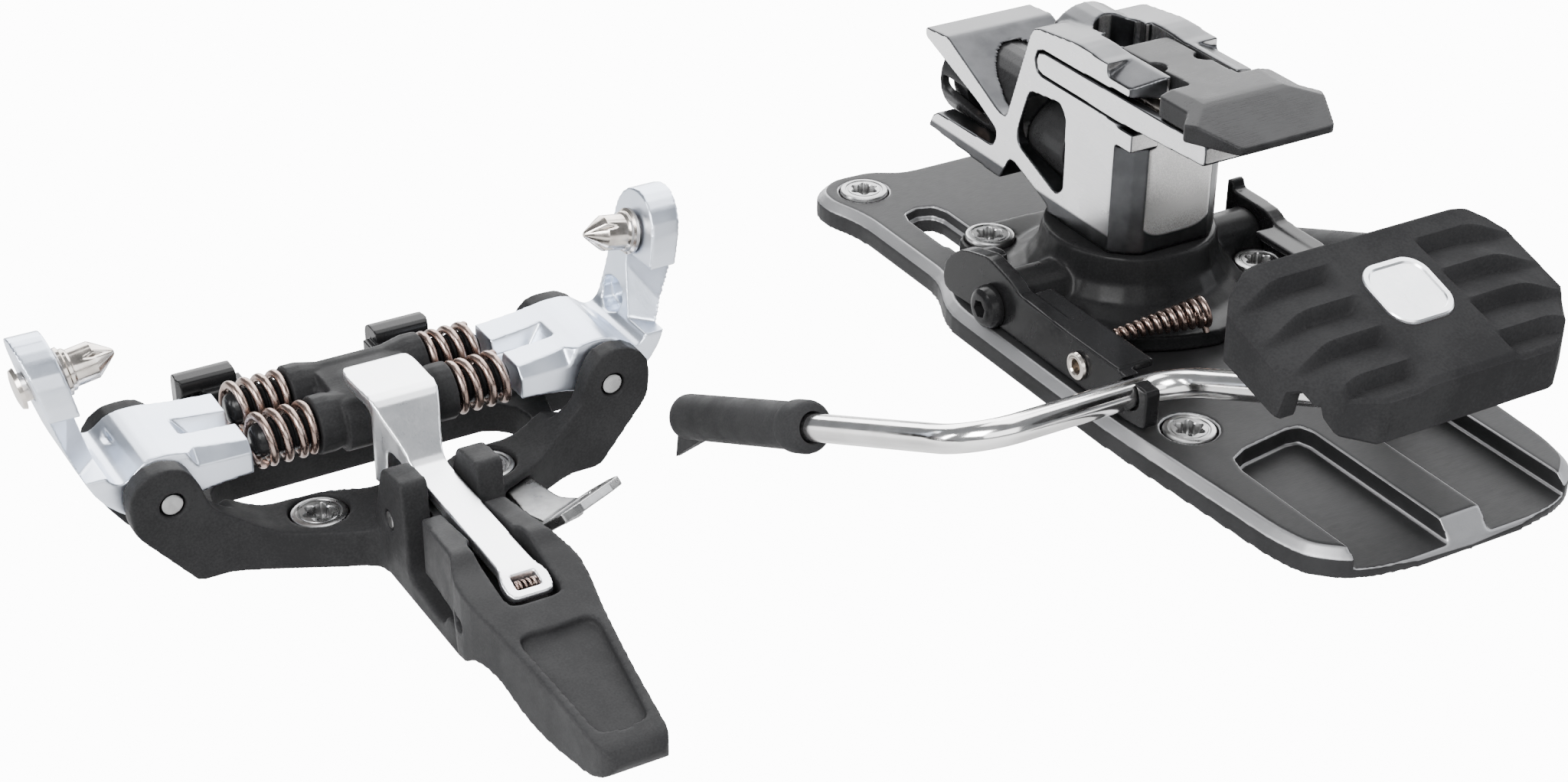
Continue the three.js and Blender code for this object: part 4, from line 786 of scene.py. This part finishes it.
# the boot pad in mm: along the ski its stations fall from PAD_BACK to PAD_FRONT
PAD_BACK = -50.5
PAD_FRONT = -76.6
PAD_CRESTS = (-54.2, -60.3, -66.1, -72.2)
PAD_STEP = 2.3
PAD_STEP_RUN = 0.7
LAST_CREST = PAD_FRONT - 1.5
CURL = 1.3
CURL_BAND = (15.0, 25.0)
BADGE_BAND = (7.4, 9.2)
SHOULDER_BAND = (17.0, 26.5)
SKIRT_BAND = (11.0, 12.0)
HOLLOW_INNER = (11.0, 11.6)
HOLLOW_OUTER = (21.4, 22.2)
HOLLOW_FRONT = (-71.4, -70.6)
RIM_DROP = 0.6
RIM_BAND = 0.8
PAD_ACROSS = 200
PAD_ROWS = 190
# (station, half width), then (station, height) of the top, the undersides and the hollow's roof
PAD_PLAN = ((PAD_BACK, 19.5), (-52.6, 23.6), (-55.0, 25.5), (-66.0, 25.6), (-72.6, 20.4), (-76.2, 15.9),
            (PAD_FRONT, 14.6))
PAD_SLOPE = ((PAD_BACK, 35.6), (-58.0, 33.1), (-68.5, 29.6), (PAD_FRONT, 26.5))
PAD_MIDDLE_FOOT = ((PAD_BACK, 27.0), (-66.0, 21.8), (-75.2, 18.7), (PAD_FRONT, 18.7))
PAD_SIDE_FOOT = ((PAD_BACK, 26.4), (-54.0, 23.9), (-66.5, 20.6), (-67.2, 24.6), (-68.7, 25.2), (-70.4, 23.2),
                 (-72.8, 19.6), (PAD_FRONT, 18.7))
PAD_ROOF = ((PAD_BACK, 30.5), (-66.0, 26.0), (PAD_FRONT, 24.0))


def smooth(value, low, high):
    """0 below `low` and 1 above `high`, with a soft rise between them."""
    t = min(max((value - low) / (high - low), 0.0), 1.0)
    return t * t * (3 - 2 * t)


def along_line(points, value):
    """Height of a polyline of (station, height) points whose stations fall."""
    for (a, za), (b, zb) in zip(points, points[1:]):
        if value >= b:
            return za + (zb - za) * (a - value) / (a - b)
    return points[-1][1]


def pad_top(x, y):
    """Sloping top with louvre steps on both sides of the badge, dying away at the outer shoulders."""
    off = abs(x)
    curl = CURL * smooth(off, *CURL_BAND)
    saw = 0.0
    for crest, following in zip(PAD_CRESTS, (*PAD_CRESTS[1:], LAST_CREST)):
        edge = crest - curl
        foot = edge - PAD_STEP_RUN
        rest = following - curl
        if foot <= y < edge:
            saw = (edge - y) / PAD_STEP_RUN
        elif rest <= y < foot:
            saw = 1 - ((foot - y) / (foot - rest)) ** 0.8
    inner = smooth(off, *BADGE_BAND)
    shoulder = smooth(off, *SHOULDER_BAND)
    return along_line(PAD_SLOPE, y) - PAD_STEP * inner * (saw + (1 - saw) * shoulder)


def pad_foot(x, y):
    """Underside: a skirt with an arch for each wire, round a hollow that reaches to the hinge."""
    off = abs(x)
    middle_foot = along_line(PAD_MIDDLE_FOOT, y)
    skirt = middle_foot + (along_line(PAD_SIDE_FOOT, y) - middle_foot) * smooth(off, *SKIRT_BAND)
    hollow = smooth(off, *HOLLOW_INNER) * (1 - smooth(off, *HOLLOW_OUTER)) * smooth(y, *HOLLOW_FRONT)
    return max(skirt, skirt + (along_line(PAD_ROOF, y) - skirt) * hollow)


def pad_grid(bm, height_at, drop):
    """Rows of vertices over the pad's plan; the rim is eased by `drop`."""
    grid = []
    for j in range(PAD_ROWS + 1):
        y = PAD_BACK + (PAD_FRONT - PAD_BACK) * j / PAD_ROWS
        half = along_line(PAD_PLAN, y)
        row = []
        for i in range(PAD_ACROSS + 1):
            x = half * (2 * i / PAD_ACROSS - 1)
            rim = min(half - abs(x), y - PAD_FRONT, PAD_BACK - y)
            ease = drop * (1 - smooth(rim, 0.0, RIM_BAND))
            row.append(bm.verts.new(Vector((x, y, height_at(x, y) - ease)) * MM))
        grid.append(row)
    return grid


def brake_pad():
    """Boot pad as two height fields, top and underside, joined round the rim."""
    bm = bmesh.new()
    top = pad_grid(bm, pad_top, RIM_DROP)
    foot = pad_grid(bm, pad_foot, -RIM_DROP)
    for grid, order in ((top, 1), (foot, -1)):
        for a, b in zip(grid, grid[1:]):
            for i in range(PAD_ACROSS):
                bm.faces.new((a[i], b[i], b[i + 1], a[i + 1])[::order])
    for i in range(PAD_ACROSS):
        bm.faces.new((top[0][i], top[0][i + 1], foot[0][i + 1], foot[0][i]))
        bm.faces.new((top[-1][i + 1], top[-1][i], foot[-1][i], foot[-1][i + 1]))
    for j in range(PAD_ROWS):
        bm.faces.new((top[j + 1][0], top[j][0], foot[j][0], foot[j + 1][0]))
        bm.faces.new((top[j][-1], top[j + 1][-1], foot[j + 1][-1], foot[j][-1]))
    pad = shade(object_from("boot_pad", bm), 38)
    stand_in(pad, "brake_pad", "black_rubbery_plastic")


BADGE_MARGIN = (0.6, 0.4)
BADGE_CORNER = 3.4
BADGE_STEPS = 12
BADGE_LOOPS = ((0.0, -0.5), (0.0, 0.3), (0.15, 0.5), (0.85, 0.5), (1.05, 0.25), (3.0, 0.25))


def pad_badge():
    """Plain rounded plate with a raised rim; it carries no mark."""
    low, high, middle = span_of("pad_badge")
    half_x = (high.x - low.x) / 2 / MM + BADGE_MARGIN[0]
    half_y = (high.y - low.y) / 2 / MM + BADGE_MARGIN[1]
    bm = bmesh.new()
    loops = []
    for inset, lift in BADGE_LOOPS:
        radius = BADGE_CORNER - inset
        loop = []
        for quarter in range(4):
            cx = (half_x - BADGE_CORNER) * (1 if quarter in (0, 3) else -1)
            cy = middle.y / MM + (half_y - BADGE_CORNER) * (1 if quarter in (0, 1) else -1)
            for step in range(BADGE_STEPS + 1):
                turn = math.pi / 2 * (quarter + step / BADGE_STEPS)
                x = cx + radius * math.cos(turn)
                y = cy + radius * math.sin(turn)
                loop.append(bm.verts.new(Vector((x, y, along_line(PAD_SLOPE, y) + lift)) * MM))
        loops.append(loop)
    count = len(loops[0])
    for a, b in zip(loops, loops[1:]):
        for i in range(count):
            bm.faces.new((a[i], a[(i + 1) % count], b[(i + 1) % count], b[i]))
    bm.faces.new(loops[0][::-1])
    bm.faces.new(loops[-1])
    stand_in(shade(object_from("plain_badge", bm), 30), "pad_badge", "bright_alloy")


# ---------------------------------------------------------------- heel fasteners and tube
def bracket_screw(side, s):
    """Domed button screw with a six-sided recess."""
    node = f"bracket_screw_{side}"
    base, span = inner_end(node, s)
    length = span / MM
    rings = [(0, 0), (1.9, 0), (1.9, length - 2.4), (3.4, length - 2.4), (3.45, length - 2.0),
             (3.4, length - 1.5), (3.05, length - 0.6), (2.5, length - 0.15), (2.1, length - 0.02),
             (hexagonal(1.5), length - 0.05), (hexagonal(1.4), length - 1.5), (0, length - 1.8)]
    screw = turned(f"button_screw_{side}", rings, base, (s, 0, 0), segments=72, angle=28)
    stand_in(screw, node, "gloss_black")


def bracket_rivet(side, s):
    """Hollow rivet with a rolled rim."""
    node = f"bracket_rivet_{side}"
    base, span = inner_end(node, s)
    length = span / MM
    rings = [(0, 0), (1.2, 0), (1.2, length - 0.8), (2.15, length - 0.8), (2.2, length - 0.5),
             (2.05, length - 0.12), (1.75, length), (1.35, length - 0.05), (1.15, length - 0.3),
             (0.95, length - 2.2), (0, length - 2.3)]
    rivet = turned(f"hollow_rivet_{side}", rings, base, (s, 0, 0), segments=56, angle=30)
    stand_in(rivet, node, "pin_steel")


def adjuster():
    """Screw that closes the tower's tube, with a six-sided recess in its wide head."""
    low, high, middle = span_of("adjust_screw")
    length = (high.y - low.y) / MM
    base = Vector((middle.x, low.y, middle.z))
    rings = [(0, 0), (2.4, 0), (2.4, 2.6), (5.9, 2.6), (6.0, 2.8), (6.0, length - 0.8),
             (5.8, length - 0.3), (5.3, length), (3.2, length), (3.0, length - 0.2), (2.9, length - 1.4),
             (hexagonal(2.4), length - 1.4), (hexagonal(2.3), length - 3.0), (0, length - 3.0)]
    screw = turned("spring_cap_screw", rings, base, (0, 1, 0), segments=72, angle=30)
    stand_in(screw, "adjust_screw", "gloss_black")


# ---------------------------------------------------------------- CAD pieces that stay
def soften(node, paint, voxel, passes):
    """Rounds every edge of a CAD piece by smoothing a `voxel` mm grid, and gives it its finish."""
    obj = nodes[node]
    grid = obj.modifiers.new("rounding_grid", "REMESH")
    grid.mode = "VOXEL"
    grid.voxel_size = voxel * MM
    grid.use_smooth_shade = True
    ease = obj.modifiers.new("edge_rounding", "SMOOTH")
    ease.factor = 0.5
    ease.iterations = passes
    obj.material_slots[0].material = PAINTS[paint]


def dress_cad_pieces():
    soften("toe_base", "black_plastic", 0.28, 5)
    soften("centre_block", "black_plastic", 0.2, 4)
    soften("heel_carriage", "carriage_black", 0.32, 12)
    soften("toe_lever", "lever_grey", 0.25, 4)
    soften("link_bar", "bright_alloy", 0.18, 4)
    soften("riser_frame", "tower_alloy", 0.2, 4)
    soften("riser_plate", "riser_alloy", 0.2, 3)
    soften("heel_tower", "tower_alloy", 0.25, 4)
    soften("heel_plate", "dark_alloy", 0.3, 3)
    soften("spring_tube", "riser_alloy", 0.2, 8)
    soften("leash_eye", "screw_steel", 0.15, 4)
    for side, _ in SIDES:
        soften(f"toe_wing_{side}", "wing_alloy", 0.2, 5)
        soften(f"crampon_clip_{side}", "gloss_black", 0.15, 4)
        soften(f"brake_bracket_{side}", "gloss_black", 0.22, 4)


# ---------------------------------------------------------------- build
make_camera()
make_floor()
make_lights()
for node in nodes:
    if node.startswith(("toe_screw_", "plate_screw_", "carriage_screw_")):
        ski_screw(node)
for side, s in SIDES:
    cross_axle(f"wing_axle_{side}", (0, 1, 0))
    toe_pin(side, s)
    heel_pin(side)
    brake_wire(side, s)
    brake_sleeve(side, s)
    bracket_screw(side, s)
    bracket_rivet(side, s)
cross_axle("lever_axle", (1, 0, 0))
cross_axle("riser_axle", (1, 0, 0))
adjuster()
brake_pad()
pad_badge()
for row in ("front", "rear"):
    for side, s in SIDES:
        toe_spring(row, side, s)
        guide_rod(row, side, s)
link_spring()
release_spring()
brake_spring()
dress_cad_pieces()
